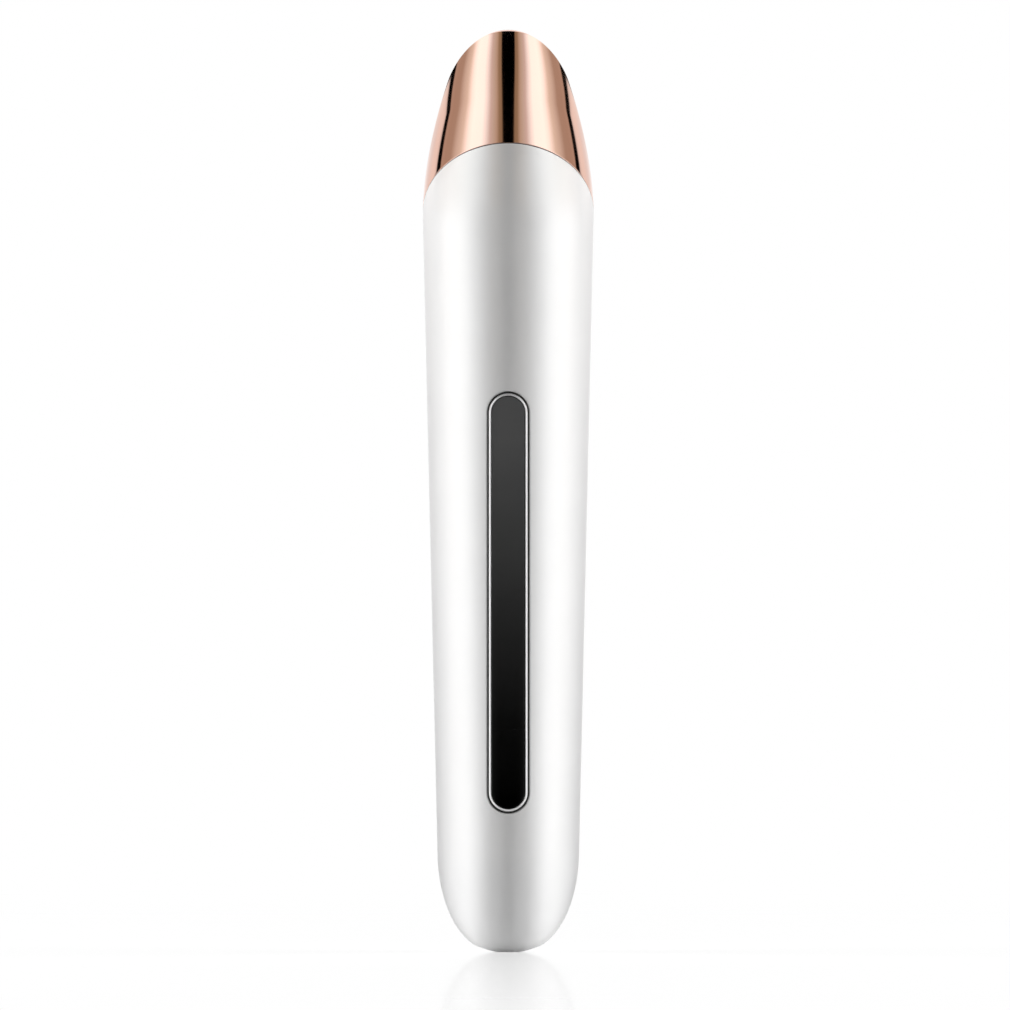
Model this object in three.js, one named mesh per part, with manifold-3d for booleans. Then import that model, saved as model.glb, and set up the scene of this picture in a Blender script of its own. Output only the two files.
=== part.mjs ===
// A heated eye massager wand: a tapered one-piece grip with a rounded foot, closed by an
// obliquely cut metal head whose flat oval face is warmed and made to vibrate.
// Millimetres. +Z runs up the wand, and the long control strip faces -Y.
import * as THREE from "three";
import { mergeVertices } from "three/addons/utils/BufferGeometryUtils.js";
import Module from "manifold-3d";

const wasm = await Module();
wasm.setup();

const degrees = Math.PI / 180;

// Outer form of the wand
const wandLength = 136;
const footHeight = 15; // height of the rounded lower end
const footTrim = 0.25; // the rounded end is cut flat this far above its own lowest point
const footRadius = 10.46; // where the rounded end meets the tapered grip
const footFullness = 2.5; // 2 makes the rounded end half an ellipse, more makes it fuller
const headLength = 28; // from the shoulder, the widest level, up to the tip
const shoulderRadius = 12.6;
const tipRadius = 6; // the head's radius at its highest point
const tipSlope = 0.447; // how fast the radius shrinks there
const lowerPull = 0.286; // how long the head's curve keeps the grip's direction
const upperPull = 0.333; // how long it keeps the tip's direction

// Oblique seam between grip and head, and the oblique face
const seamRise = 1.5; // seam level on the axis, above the shoulder
const seamTilt = 40.2 * degrees;
const faceTilt = 53.5 * degrees;
const seamGasketThickness = 0.25;
const seamGasketInset = 0.08; // how far the gasket lies behind the skin
const contactGap = 0.05; // between pieces pressed on each other

// Grip walls
const footWall = 1.6;
const gripWallAtFoot = 1.6;
const mouthRadius = 10.15; // bore that takes the head's spigot
const mouthDepth = 17; // how far the straight bore reaches down from the shoulder

// Head casting
const headWall = 1.4;
const seamLedge = 1.5; // thickness of the head's floor around the spigot
const spigotClearance = 0.12;
const spigotWall = 1.2;
const spigotChamfer = 0.4;
const spigotReach = 7; // engagement at the seam's lowest point
const beadHeight = 0.3; // snap bead on the spigot
const beadWidth = 1.2;
const beadLevel = 1.6; // above the spigot's lower edge
const ringSection = 1; // sealing ring, wire diameter
const ringLevel = 5.2;
const ringSquash = 0.75; // radial share of the wire left after fitting

// Warm contact plate and what is stacked behind it
const rimWidth = 1.2; // head rim left around the plate
const plateClearance = 0.2;
const plateProud = 0.3;
const plateThickness = 1.2;
const plateEdgeRadius = 0.5;
const sealThickness = 0.35;
const ledgeThickness = 1;
const ledgeWidth = 2.1; // from the recess wall in to the window
const filmThickness = 0.25;
const padThickness = 0.75;
const retainerThickness = 1.2;
const retainerLap = 1.1; // how far the retainer reaches under the ledge
const studRadius = 1.5;
const studFront = 3.3; // front stud behind the window's front end
const studRear = 5.6; // rear studs before the window's rear end
const studSpread = 2.9; // rear studs either side of the middle
const plateScrewRadius = 0.75;
const plateScrewHeadRadius = 1.4;
const plateScrewHeadHeight = 0.8;
const plateScrewLength = 2.4;
const sensorSize = [2.4, 1.4, 0.65];
const heaterLeadSpread = 3; // leads either side of the middle
const heaterLeadBefore = 4.2; // and in front of the sensor

// Control strip: chrome frame, press bar and the tray under it
const stripFootMargin = 5.5; // strip's lower end above the rounded foot
const stripHeadMargin = 25.4; // strip's upper end below the shoulder
const stripWidth = 6.3;
const frameLip = 0.63; // visible width of the chrome frame
const frameSink = 0.25; // frame's crest below the grip's crown line
const beadRise = 0.25; // height of the frame's rounded crest
const lipDepth = 0.6; // frame's lip, crest to underside
const skirtStep = 0.15; // lip over skirt, seated on the grip's rebate
const skirtWall = 0.25;
const slotClearance = 0.05;
const barClearance = 0.09;
const barSink = 0.13; // bar's face below the frame's crest
const barFlange = 0.16; // flange over the frame's opening
const barFlangeThickness = 0.8;
const barTravel = 0.3;
const barPlay = 0.05;
const stopPadThickness = 0.55;
const stopPadLength = 3;
const stopPadInset = 7; // pad centres from the strip's ends
const stopPadWidth = 4.2;
const trayThickness = 0.8;
const stemRadius = 1.2;
const stemClearance = 0.2;
const catchLength = 0.5;
const catchReach = 0.35;
const catchWidth = 2;
const guideWidth = 3.2;
const guideLength = 15;
const guideLip = 0.4;
const guidePipeRadius = 0.8;
const guideOffset = 10.5; // light guide's middle above the strip's middle

// Main board and what is soldered to it
const boardFront = 5.8; // board's front face, towards the strip, from the axis
const boardThickness = 1;
const boardWidth = 12.4;
const boardFoot = 14;
const boardCorner = 1.2; // slanted lower corners
const switchSize = 4.5;
const switchHeight = 1.6;
const plungerRadius = 1;
const plungerRise = 0.45;
const ledSize = [2, 1.25, 0.8];
const ledPitch = 5;
const chipGap = 0.02; // solder film under a chip
const controllerSize = [5, 5, 0.9];
const controllerDrop = 9.5; // below the switch
const chargerSize = [3, 3, 0.8];
const chargerDrop = 17;
const inductorSize = [4, 4, 1.2];
const inductorRing = 1.7; // groove in its top, outer radius
const inductorRingWidth = 0.5;
const inductorRingDepth = 0.3;
const inductorDrop = 22.5;
const capacitorSize = [3.4, 2.8, 1.1];
const partSpread = 3.2; // sideways place of the paired parts
const boardScrewRadius = 1;
const boardScrewHeadRadius = 1.8;
const boardScrewHeadHeight = 1.1;
const boardScrewLength = 6;

// Cell
const cellRadius = 5;
const cellLength = 44;
const cellBehind = 0.9; // cell axis behind the wand's axis
const cellCorner = 0.5;
const poleHeight = 0.8; // raised pole
const poleRadius = 1.75;
const tabThickness = 0.25;
const tabWidth = 4;
const tabLip = 2; // bent end that is soldered to the board
const foamWidth = 7;
const foamLength = 26;
const foamWrap = 0.7; // how far the foam reaches round the front of the cell

// Charging socket and its board
const socketWidth = 8.94;
const socketHeight = 3.26;
const socketWall = 0.3;
const socketLength = 7.3;
const socketMouth = 1.6; // mouth level above the foot
const socketClearance = 0.18;
const tongueWidth = 6.7;
const tongueThickness = 0.7;
const tongueSetback = 1.1;
const insertLength = 2; // plastic block at the back of the socket
const chargeBoardThickness = 0.8;
const chargeBoardWidth = 10;
const chargeBoardFoot = 4.5;
const chargeBoardLength = 12.5;

// Vibration motor
const motorRadius = 6;
const motorFlat = 5; // half the distance across the flats
const motorCanLength = 12.5;
const motorCapLength = 2.5;
const motorNose = 1;
const bearingRadius = 2;
const bearingLength = 1.8;
const shaftRadius = 0.75;
const shaftClearance = 0.08;
const shaftTop = 8.2; // above the can
const bootThickness = 0.48;
const bootLength = 11.8;
const bootSetback = 0.2; // boot's lower end above the cap
const weightRadius = 4.5;
const weightLength = 5.5;
const weightGap = 1; // between bearing nose and weight
const weightHub = 1.7;
const pressGap = 0.02; // between pieces pushed tightly together
const terminalSize = [1.5, 0.3, 1.4];
const terminalSpread = 3.5;
const terminalSeat = 1; // how deep a terminal stands in the cap
const capStep = 0.2; // cap narrower than the can

// Chassis
const chassisGap = 0.3;
const chassisWall = 1.1;
const chassisFoot = 13;
const bulkhead = 1.2;
const flangeThickness = 1.8;
const motorSink = 5.8; // motor's lower end under the flange's top
const terminalRoom = 1.6;
const saddleWidth = 1.4;
const saddleCount = 3;
const railDepth = 2.4;
const windowWidth = 8; // openings that the leads pass
const windowSetback = 1; // the lower one ends this far in front of the axis
const windowReach = 2; // the upper one reaches this far behind it
const boardBossRadius = 2;
const cradleHalf = 4.4; // the cradle grips the boot this far in front of and behind the axis
const cradleWall = 1;
const notchRadius = 1;
const fitGap = 0.1;
const bossOffset = 7.1; // head screws, in front of and behind the axis
const bossRadius = 1.4;
const bossLength = 8;
const headScrewRadius = 0.8;
const headScrewHeadRadius = 1.5;
const headScrewHeadHeight = 1.3;
const headScrewLength = 8;

// Cross recesses of the screws
const crossWidth = 0.45;
const crossReachShare = 1.1; // of the head's radius, tip to tip
const crossDepthShare = 0.45; // of the head's height
const crownShare = 0.6; // flat top, of the head's radius

// Leads
const leadRadius = 0.45;
const leadRoom = 0.25;
const leadSides = 5;
const leadBend = 1.2; // room that a bend takes
const heaterJointDrop = 4; // soldered ends below the board's upper edge
const motorJointDrop = 3;
const motorLeadSpread = 2.6;
const motorLeadBend = 3; // where the motor leads turn down, in front of the axis
const chargeLeadSpread = 2.5;
const chargeJointDrop = 2; // soldered ends below the charging board's upper edge

// Facets round a full turn
const skinSides = 48;
const boreSides = 32;
const roundSides = 24;
const smallSides = 12;
const screwSides = 10;
const rimPoints = 36;
const endSteps = 6; // twice this many facets round each end of a stadium
const footSteps = 8; // facets up the rounded foot
const boreFootSteps = 5; // and inside it
const headSteps = 12; // facets up the head
const seamSteps = 6; // facets up the skin beside the seam
const crestSteps = 4; // facets over the frame's crest
const plateEdgeSteps = 3;
const ringCorners = 6; // facets round the sealing ring's wire
const heaterLeadSteps = 24;
const motorLeadSteps = 14;
const chargeLeadSteps = 8;
const farAway = 400; // half-space blocks
const past = 1; // how far a cut runs past the faces it opens

// Places that follow from the sizes above
const shoulderHeight = wandLength - headLength;
const seamHeight = shoulderHeight + seamRise;
const faceHeight = wandLength - Math.tan(faceTilt) * tipRadius;
const gripTaper = (shoulderRadius - footRadius) / (shoulderHeight - footHeight);
const mouthFoot = shoulderHeight - mouthDepth;
const spigotRadius = mouthRadius - spigotClearance;
const spigotFoot = seamHeight - Math.tan(seamTilt) * shoulderRadius - spigotReach;
const beadCentre = spigotFoot + beadLevel;
const ringCentre = spigotFoot + ringLevel;
const ringSeat = spigotRadius - ringSection * ringSquash; // bottom of the ring's groove
const chassisTop = spigotFoot - contactGap;
const motorFoot = chassisTop - motorSink;
const motorTop = motorFoot + motorCapLength + motorCanLength;
const motorFloorTop = motorFoot - terminalRoom;
const motorFloor = motorFloorTop - bulkhead;
const boardTop = motorFloor - chassisGap;
const boardBack = boardFront - boardThickness;
const cellWallFoot = chargeBoardFoot + chargeBoardLength + chassisGap;
const cellWallTop = cellWallFoot + bulkhead;
const cellFoot = cellWallTop + tabThickness + 2 * contactGap;
const cellTop = cellFoot + cellLength + poleHeight;
const upperWallFoot = cellTop + tabThickness + 2 * contactGap;
const upperWallTop = upperWallFoot + bulkhead;

// Steel, plastics and coatings, with the colours they show
const finish = (color, roughness, metalness) =>
  new THREE.MeshStandardMaterial({ color, roughness, metalness });
const whiteLacquer = finish(0xf0f0f1, 0.32, 0);
const roseGold = finish(0xd9a184, 0.14, 1);
const polishedRoseGold = finish(0xe2ad92, 0.08, 1);
const chrome = finish(0xd8dadc, 0.08, 1);
const smokedGloss = finish(0x0b0b0d, 0.06, 0);
const darkRubber = finish(0x2a2522, 0.75, 0);
const greyPlastic = finish(0xb9bcc0, 0.55, 0);
const blackPlastic = finish(0x141416, 0.5, 0);
const clearPlastic = finish(0xdfe4e6, 0.2, 0);
const boardGreen = finish(0x1f6b3f, 0.5, 0);
const nickel = finish(0xb9b6ad, 0.3, 1);
const steel = finish(0xa7a9ac, 0.32, 1);
const bronze = finish(0xa87b45, 0.4, 1);
const tungsten = finish(0x6b6c70, 0.4, 1);
const cellWrap = finish(0x2f6fb0, 0.4, 0);
const foamGrey = finish(0x4a4b4d, 0.95, 0);
const filmAmber = finish(0xb4661e, 0.35, 0);
const ledWhite = finish(0xf3f0dd, 0.3, 0);
const wireRed = finish(0xb3231d, 0.5, 0);
const wireBlack = finish(0x17171a, 0.5, 0);

// A geometry as a manifold-3d solid, turned round where its faces point inwards
function solidOf(geometry) {
  const bare = geometry.index ? geometry.toNonIndexed() : geometry.clone();
  bare.deleteAttribute("normal");
  bare.deleteAttribute("uv");
  const merged = mergeVertices(bare, 1e-4);
  const faces = new Uint32Array(merged.index.array);
  const build = () =>
    new wasm.Manifold(
      new wasm.Mesh({
        numProp: 3,
        vertProperties: merged.attributes.position.array,
        triVerts: faces,
      }),
    );
  const made = build();
  if (made.volume() > 0) return made;
  for (let i = 0; i < faces.length; i += 3) {
    [faces[i + 1], faces[i + 2]] = [faces[i + 2], faces[i + 1]];
  }
  return build();
}

// A manifold-3d solid as a flat-shaded geometry
function geometryOf(solid) {
  const { numProp, vertProperties, triVerts } = solid.getMesh();
  const corners = new Float32Array(triVerts.length * 3);
  triVerts.forEach((vertex, i) => {
    corners.set(vertProperties.subarray(vertex * numProp, vertex * numProp + 3), i * 3);
  });
  const geometry = new THREE.BufferGeometry();
  geometry.setAttribute("position", new THREE.BufferAttribute(corners, 3));
  geometry.computeVertexNormals();
  return geometry;
}

const joined = (first, ...others) => others.reduce((all, next) => all.add(next), first);
const without = (first, ...others) => others.reduce((all, next) => all.subtract(next), first);

// A solid block between two corners
function block(low, high) {
  const size = high.map((value, k) => value - low[k]);
  const middle = high.map((value, k) => (value + low[k]) / 2);
  return solidOf(new THREE.BoxGeometry(...size).translate(...middle));
}

// A block centred on x = 0
const centredBlock = (width, yLow, yHigh, zLow, zHigh) =>
  block([-width / 2, yLow, zLow], [width / 2, yHigh, zHigh]);

// An upright cylinder at x, y
function post(radius, low, high, x = 0, y = 0, sides = smallSides) {
  const geometry = new THREE.CylinderGeometry(radius, radius, high - low, sides);
  return solidOf(geometry.rotateX(Math.PI / 2).translate(x, y, (low + high) / 2));
}

// A cylinder lying along Y, from its front end to its back end
function peg(radius, front, back, x, z, sides = smallSides) {
  const geometry = new THREE.CylinderGeometry(radius, radius, back - front, sides);
  return solidOf(geometry.translate(x, (front + back) / 2, z));
}

// A solid of revolution about Z from [radius, height] pairs, closed onto the axis
function revolve(outline, sides = skinSides) {
  const points = outline.map(([radius, height]) => new THREE.Vector2(radius, height));
  if (points[0].x > 0) points.unshift(new THREE.Vector2(0, points[0].y));
  const last = points[points.length - 1];
  if (last.x > 0) points.push(new THREE.Vector2(0, last.y));
  return solidOf(new THREE.LatheGeometry(points, sides).rotateX(Math.PI / 2));
}

// An upright prism of a flat outline
function prism(shape, low, high) {
  const options = { depth: high - low, bevelEnabled: false, curveSegments: endSteps };
  return solidOf(new THREE.ExtrudeGeometry(shape, options).translate(0, 0, low));
}

// Rings of points joined into a skin: capped at both ends, or closed into a loop
function skinRings(rings, isLoop = false) {
  const count = rings[0].length;
  const faces = [];
  for (let k = 0; k < (isLoop ? rings.length : rings.length - 1); k++) {
    const low = k * count;
    const high = ((k + 1) % rings.length) * count;
    for (let i = 0; i < count; i++) {
      const j = (i + 1) % count;
      faces.push(low + i, low + j, high + j, low + i, high + j, high + i);
    }
  }
  const top = (rings.length - 1) * count;
  for (let i = 1; i < count - 1 && !isLoop; i++) {
    faces.push(0, i + 1, i, top, top + i, top + i + 1);
  }
  const geometry = new THREE.BufferGeometry().setFromPoints(rings.flat());
  return solidOf(geometry.setIndex(faces));
}

// A stadium outline: straight sides joined by half circles
function stadium(width, length) {
  const radius = width / 2;
  const shape = new THREE.Shape();
  shape.absarc(0, length / 2 - radius, radius, 0, Math.PI, false);
  shape.absarc(0, radius - length / 2, radius, Math.PI, 2 * Math.PI, false);
  return shape;
}

// Everything above or below a plane that crosses the axis at a height and leans back
function halfSpace(height, tilt, isAbove) {
  const cube = new THREE.BoxGeometry(farAway, farAway, farAway);
  cube.translate(0, 0, (isAbove ? 1 : -1) * (farAway / 2));
  return solidOf(cube.rotateX(-tilt).translate(0, 0, height));
}
const above = (height, tilt) => halfSpace(height, tilt, true);
const below = (height, tilt) => halfSpace(height, tilt, false);

// Radius of the wand's skin at a height: half an ellipse, a cone, then the head's curve
const headSpan = wandLength - shoulderHeight;
const headCurve = new THREE.CubicBezierCurve(
  new THREE.Vector2(shoulderRadius, shoulderHeight),
  new THREE.Vector2(
    shoulderRadius + gripTaper * lowerPull * headSpan,
    shoulderHeight + lowerPull * headSpan,
  ),
  new THREE.Vector2(
    tipRadius + tipSlope * upperPull * headSpan,
    wandLength - upperPull * headSpan,
  ),
  new THREE.Vector2(tipRadius, wandLength),
);

function headRadius(height) {
  let low = 0;
  let high = 1;
  while (high - low > 1e-9) {
    const middle = (low + high) / 2;
    if (headCurve.getPoint(middle).y < height) low = middle;
    else high = middle;
  }
  return headCurve.getPoint(low).x;
}

function skinRadius(height) {
  if (height < footHeight) {
    const drop = (footHeight - height) / (footHeight + footTrim);
    return footRadius * (1 - drop ** 2) ** (1 / footFullness);
  }
  if (height < shoulderHeight) return footRadius + gripTaper * (height - footHeight);
  if (height < wandLength) return headRadius(height);
  return tipRadius - tipSlope * (height - wandLength);
}

// A full quarter oval as [radius, height] pairs, from a level near its lowest point up
function footOutline(radius, bottom, start, steps) {
  const depth = footHeight - bottom;
  const first = Math.acos((footHeight - start) / depth);
  return Array.from({ length: steps + 1 }, (_, k) => {
    const angle = first + (k / steps) * (Math.PI / 2 - first);
    const width = radius * Math.sin(angle) ** (2 / footFullness);
    return [width, footHeight - depth * Math.cos(angle)];
  });
}

// The skin of the head as [radius, height] pairs, moved in by an inset
function headOutline(low, high, inset, steps) {
  return Array.from({ length: steps + 1 }, (_, k) => {
    const height = low + ((high - low) * k) / steps;
    return [skinRadius(height) - inset, height];
  });
}

// The strip lies between its margins on the straight part of the grip
const stripFoot = footHeight + stripFootMargin;
const stripTop = shoulderHeight - stripHeadMargin;
const stripLevel = (stripFoot + stripTop) / 2;
const stripLength = (stripTop - stripFoot) * Math.hypot(1, gripTaper);

// Radius of the grip's bore: it widens steadily up to the straight mouth
const boreFootRadius = footRadius - gripWallAtFoot;
function boreRadius(height) {
  const share = (height - footHeight) / (mouthFoot - footHeight);
  return boreFootRadius + (mouthRadius - boreFootRadius) * Math.min(1, share);
}

// Frames of the two leaning sub-assemblies
const stripLean = Math.atan(gripTaper);
const stripFrame = new THREE.Matrix4()
  .makeRotationX(Math.PI / 2 + stripLean)
  .setPosition(0, -skinRadius(stripLevel), stripLevel);
const faceFrame = new THREE.Matrix4().makeRotationX(-faceTilt).setPosition(0, 0, faceHeight);
const inWand = (solid, frame) => solid.transform(frame.elements);

// The oval that the face plane cuts from the skin, as points in the face's own frame
function rimOutline() {
  return Array.from({ length: rimPoints }, (_, k) => {
    const angle = (k / rimPoints) * 2 * Math.PI;
    let low = 0;
    let high = wandLength + past;
    while (high - low > 1e-7) {
      const middle = (low + high) / 2;
      const reach = Math.tan(faceTilt) * skinRadius(middle) * Math.cos(angle);
      if (middle - faceHeight < reach) low = middle;
      else high = middle;
    }
    const radius = skinRadius(low);
    return new THREE.Vector2(
      radius * Math.sin(angle),
      (-radius * Math.cos(angle)) / Math.cos(faceTilt),
    );
  });
}
const rim = rimOutline();
const windowInset = rimWidth + ledgeWidth;
const windowFront = Math.min(...rim.map((point) => point.y)) + windowInset;
const windowRear = Math.max(...rim.map((point) => point.y)) - windowInset;
const studPlaces = [
  [-studSpread, windowRear - studRear],
  [studSpread, windowRear - studRear],
  [0, windowFront + studFront],
];
const sensorPlace = [0, (windowFront + windowRear) / 2];
const heaterLeadPlace = [heaterLeadSpread, sensorPlace[1] - heaterLeadBefore];

// The same oval moved in by a distance, at a height above the face plane
function rimRing(inset, height) {
  return rim.map((point, k) => {
    const before = rim[(k + rimPoints - 1) % rimPoints];
    const after = rim[(k + 1) % rimPoints];
    const along = after.clone().sub(before).normalize();
    return new THREE.Vector3(point.x - along.y * inset, point.y + along.x * inset, height);
  });
}

// A solid whose outline follows the oval, from [inset, height] pairs
const ovalStack = (levels) =>
  skinRings(levels.map(([inset, height]) => rimRing(inset, height)));

// Levels of the stack behind the face, measured along the face's normal
const plateTop = plateProud;
const plateBack = plateTop - plateThickness;
const sealTop = plateBack - contactGap;
const ledgeTop = sealTop - sealThickness - contactGap;
const ledgeBack = ledgeTop - ledgeThickness;
const filmTop = plateBack - contactGap;
const padTop = filmTop - filmThickness - contactGap;
const retainerTop = ledgeBack - contactGap;
const retainerBack = retainerTop - retainerThickness;

// The one-piece grip: tapered tube, closed foot, oblique mouth, strip slot and socket hole
function makeGrip() {
  const skinTop = seamHeight + Math.tan(seamTilt) * shoulderRadius;
  const skin = revolve([
    ...footOutline(footRadius, -footTrim, 0, footSteps),
    ...headOutline(shoulderHeight, skinTop, 0, seamSteps),
  ]);
  const bore = revolve(
    [
      ...footOutline(boreFootRadius, footWall, footWall, boreFootSteps),
      [mouthRadius, mouthFoot],
      [mouthRadius, skinTop + past],
    ],
    boreSides,
  );
  const rimDrop = seamGasketThickness / 2 / Math.cos(seamTilt);
  const grooveRadius = spigotRadius + beadHeight + spigotClearance;
  const grooveHalf = beadWidth / 2 + fitGap;
  const groove = without(
    post(grooveRadius, beadCentre - grooveHalf, beadCentre + grooveHalf, 0, 0, boreSides),
    post(mouthRadius - past, beadCentre - beadWidth, beadCentre + beadWidth),
  );
  const rebate = prism(
    stadium(stripWidth + 2 * slotClearance, stripLength + 2 * slotClearance),
    lipBack - slotClearance,
    past,
  );
  const slotShrink = 2 * (skirtStep - slotClearance);
  const slot = prism(stadium(stripWidth - slotShrink, stripLength - slotShrink), trayBack, past);
  const socketHole = prism(
    stadium(socketHeight + 2 * socketClearance, socketWidth + 2 * socketClearance),
    -past,
    socketMouth + socketLength / 2,
  ).rotate([0, 0, 90]);
  return without(
    skin,
    bore,
    groove,
    above(seamHeight - rimDrop, seamTilt),
    inWand(rebate, stripFrame),
    inWand(slot, stripFrame),
    socketHole,
  );
}

// The thin dark gasket that shows as a line between grip and head
function makeSeamGasket() {
  const half = (seamGasketThickness / 2 - contactGap) / Math.cos(seamTilt);
  const reach = Math.tan(seamTilt) * shoulderRadius + past;
  const disc = revolve([
    [skinRadius(seamHeight - reach) - seamGasketInset, seamHeight - reach],
    ...headOutline(shoulderHeight, seamHeight + reach, seamGasketInset, seamSteps),
  ]);
  const hole = post(mouthRadius, seamHeight - reach - past, seamHeight + reach, 0, 0, boreSides);
  return without(disc, hole, above(seamHeight + half, seamTilt), below(seamHeight - half, seamTilt));
}

// The head: a hollow oblique casting with a spigot, a snap bead and two screw bosses
function makeHeadShell() {
  const seamHalf = seamGasketThickness / 2 / Math.cos(seamTilt);
  const reach = Math.tan(seamTilt) * shoulderRadius + past;
  const skin = revolve([
    [skinRadius(seamHeight - reach), seamHeight - reach],
    ...headOutline(shoulderHeight, wandLength + past, 0, headSteps),
  ]).intersect(above(seamHeight + seamHalf, seamTilt));
  const spigot = revolve(
    [
      [spigotRadius - spigotChamfer, spigotFoot],
      [spigotRadius, spigotFoot + spigotChamfer],
      [spigotRadius, beadCentre - beadWidth / 2],
      [spigotRadius + beadHeight, beadCentre - beadWidth / 2 + beadHeight],
      [spigotRadius + beadHeight, beadCentre + beadWidth / 2 - beadHeight],
      [spigotRadius, beadCentre + beadWidth / 2],
      [spigotRadius, ringCentre - ringSection / 2],
      [ringSeat, ringCentre - ringSection / 2],
      [ringSeat, ringCentre + ringSection / 2],
      [spigotRadius, ringCentre + ringSection / 2],
      [spigotRadius, seamHeight + reach],
    ],
    boreSides,
  ).intersect(below(seamHeight + seamLedge, seamTilt));
  const spigotBore = spigotRadius - spigotWall;
  const inside = revolve(headOutline(mouthFoot, wandLength, headWall, headSteps), boreSides);
  const floor = seamHeight + seamHalf + seamLedge / Math.cos(seamTilt);
  const throat = post(spigotBore, mouthFoot, wandLength, 0, 0, boreSides);
  const cavity = joined(
    inside.intersect(above(floor, seamTilt)),
    throat.intersect(inside),
    post(spigotBore, spigotFoot - past, mouthFoot + past, 0, 0, boreSides),
  ).intersect(below(faceHeight + ledgeBack / Math.cos(faceTilt), faceTilt));
  const recess = ovalStack([
    [rimWidth, ledgeTop],
    [rimWidth, past],
  ]);
  const opening = ovalStack([
    [windowInset, ledgeBack - past],
    [windowInset, past],
  ]);
  const hollowed = without(
    joined(skin, spigot).intersect(below(faceHeight, faceTilt)),
    cavity,
    inWand(recess, faceFrame),
    inWand(opening, faceFrame),
  );
  const bosses = [-1, 1].map((side) => {
    const web = block(
      [-bossRadius, 0, spigotFoot],
      [bossRadius, spigotBore - bossOffset + 2 * fitGap, spigotFoot + bossLength],
    );
    const solid = post(bossRadius, spigotFoot, spigotFoot + bossLength);
    return joined(solid, side > 0 ? web : web.rotate([0, 0, 180])).translate([
      0,
      side * bossOffset,
      0,
    ]);
  });
  const pilots = [-1, 1].map((side) =>
    post(
      headScrewRadius + fitGap,
      spigotFoot - past,
      spigotFoot + bossLength - past,
      0,
      side * bossOffset,
    ),
  );
  return without(joined(hollowed, ...bosses), ...pilots);
}

// The sealing ring in the spigot's groove
function makeSealingRing() {
  const centre = (ringSeat + mouthRadius) / 2;
  const halfWidth = (mouthRadius - ringSeat) / 2 - contactGap;
  const halfHeight = ringSection / 2 - contactGap;
  const rings = Array.from({ length: boreSides }, (_, k) => {
    const around = (k / boreSides) * 2 * Math.PI;
    return Array.from({ length: ringCorners }, (_, i) => {
      const turn = (i / ringCorners) * 2 * Math.PI;
      const radius = centre + halfWidth * Math.cos(turn);
      const height = ringCentre + halfHeight * Math.sin(turn);
      return new THREE.Vector3(radius * Math.sin(around), radius * Math.cos(around), height);
    });
  });
  return skinRings(rings, true);
}

// The warm plate: flat, with a rounded edge and three threaded studs behind it
function makeContactPlate() {
  const edge = rimWidth + plateClearance;
  const round = Array.from({ length: plateEdgeSteps + 1 }, (_, k) => {
    const angle = (k / plateEdgeSteps) * (Math.PI / 2);
    return [
      edge + plateEdgeRadius * (1 - Math.cos(angle)),
      plateTop - plateEdgeRadius * (1 - Math.sin(angle)),
    ];
  });
  const plate = ovalStack([[edge, plateBack], ...round]);
  const studs = studPlaces.map(([x, y]) =>
    post(studRadius, retainerTop + contactGap, plateBack + contactGap, x, y),
  );
  const threads = studPlaces.map(([x, y]) =>
    post(plateScrewRadius + contactGap, retainerTop - past, plateBack - contactGap, x, y),
  );
  return without(joined(plate, ...studs), ...threads);
}

function makePlateSeal() {
  return without(
    ovalStack([
      [rimWidth + contactGap, sealTop - sealThickness],
      [rimWidth + contactGap, sealTop],
    ]),
    ovalStack([
      [windowInset, sealTop - past],
      [windowInset, sealTop + past],
    ]),
  );
}

// A flat oval behind the window with holes for the studs and the leads
function ovalLayer(inset, low, high, holeRadius) {
  const stack = ovalStack([
    [inset, low],
    [inset, high],
  ]);
  const studHoles = studPlaces.map(([x, y]) => post(holeRadius, low - past, high + past, x, y));
  const leadHoles = [-1, 1].map((side) =>
    post(leadRadius + leadRoom, low - past, high + past, side * heaterLeadPlace[0], heaterLeadPlace[1]),
  );
  return without(stack, ...studHoles, ...leadHoles);
}

function makeHeaterFilm() {
  const low = filmTop - filmThickness;
  const film = ovalStack([
    [windowInset + fitGap, low],
    [windowInset + fitGap, filmTop],
  ]);
  const holes = studPlaces.map(([x, y]) => post(studRadius + fitGap, low - past, filmTop + past, x, y));
  return without(film, ...holes);
}

function makeHeaterPad() {
  const layer = ovalLayer(windowInset + fitGap, padTop - padThickness, padTop, studRadius + fitGap);
  const [width, length, height] = sensorSize;
  const [x, y] = sensorPlace;
  const pocket = block(
    [x - width / 2 - fitGap, y - length / 2 - fitGap, padTop - height - fitGap],
    [x + width / 2 + fitGap, y + length / 2 + fitGap, padTop + past],
  );
  return without(layer, pocket);
}

function makeTemperatureSensor() {
  const [width, length, height] = sensorSize;
  const [x, y] = sensorPlace;
  return block(
    [x - width / 2, y - length / 2, padTop - height],
    [x + width / 2, y + length / 2, padTop - contactGap],
  );
}

function makePlateRetainer() {
  const inset = windowInset - retainerLap;
  const layer = ovalLayer(inset, retainerBack, retainerTop, plateScrewRadius + fitGap);
  const inside = revolve(
    headOutline(shoulderHeight, wandLength, headWall + chassisGap, seamSteps),
    roundSides,
  );
  return layer.intersect(inWand(inside, faceFrame.clone().invert()));
}

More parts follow.
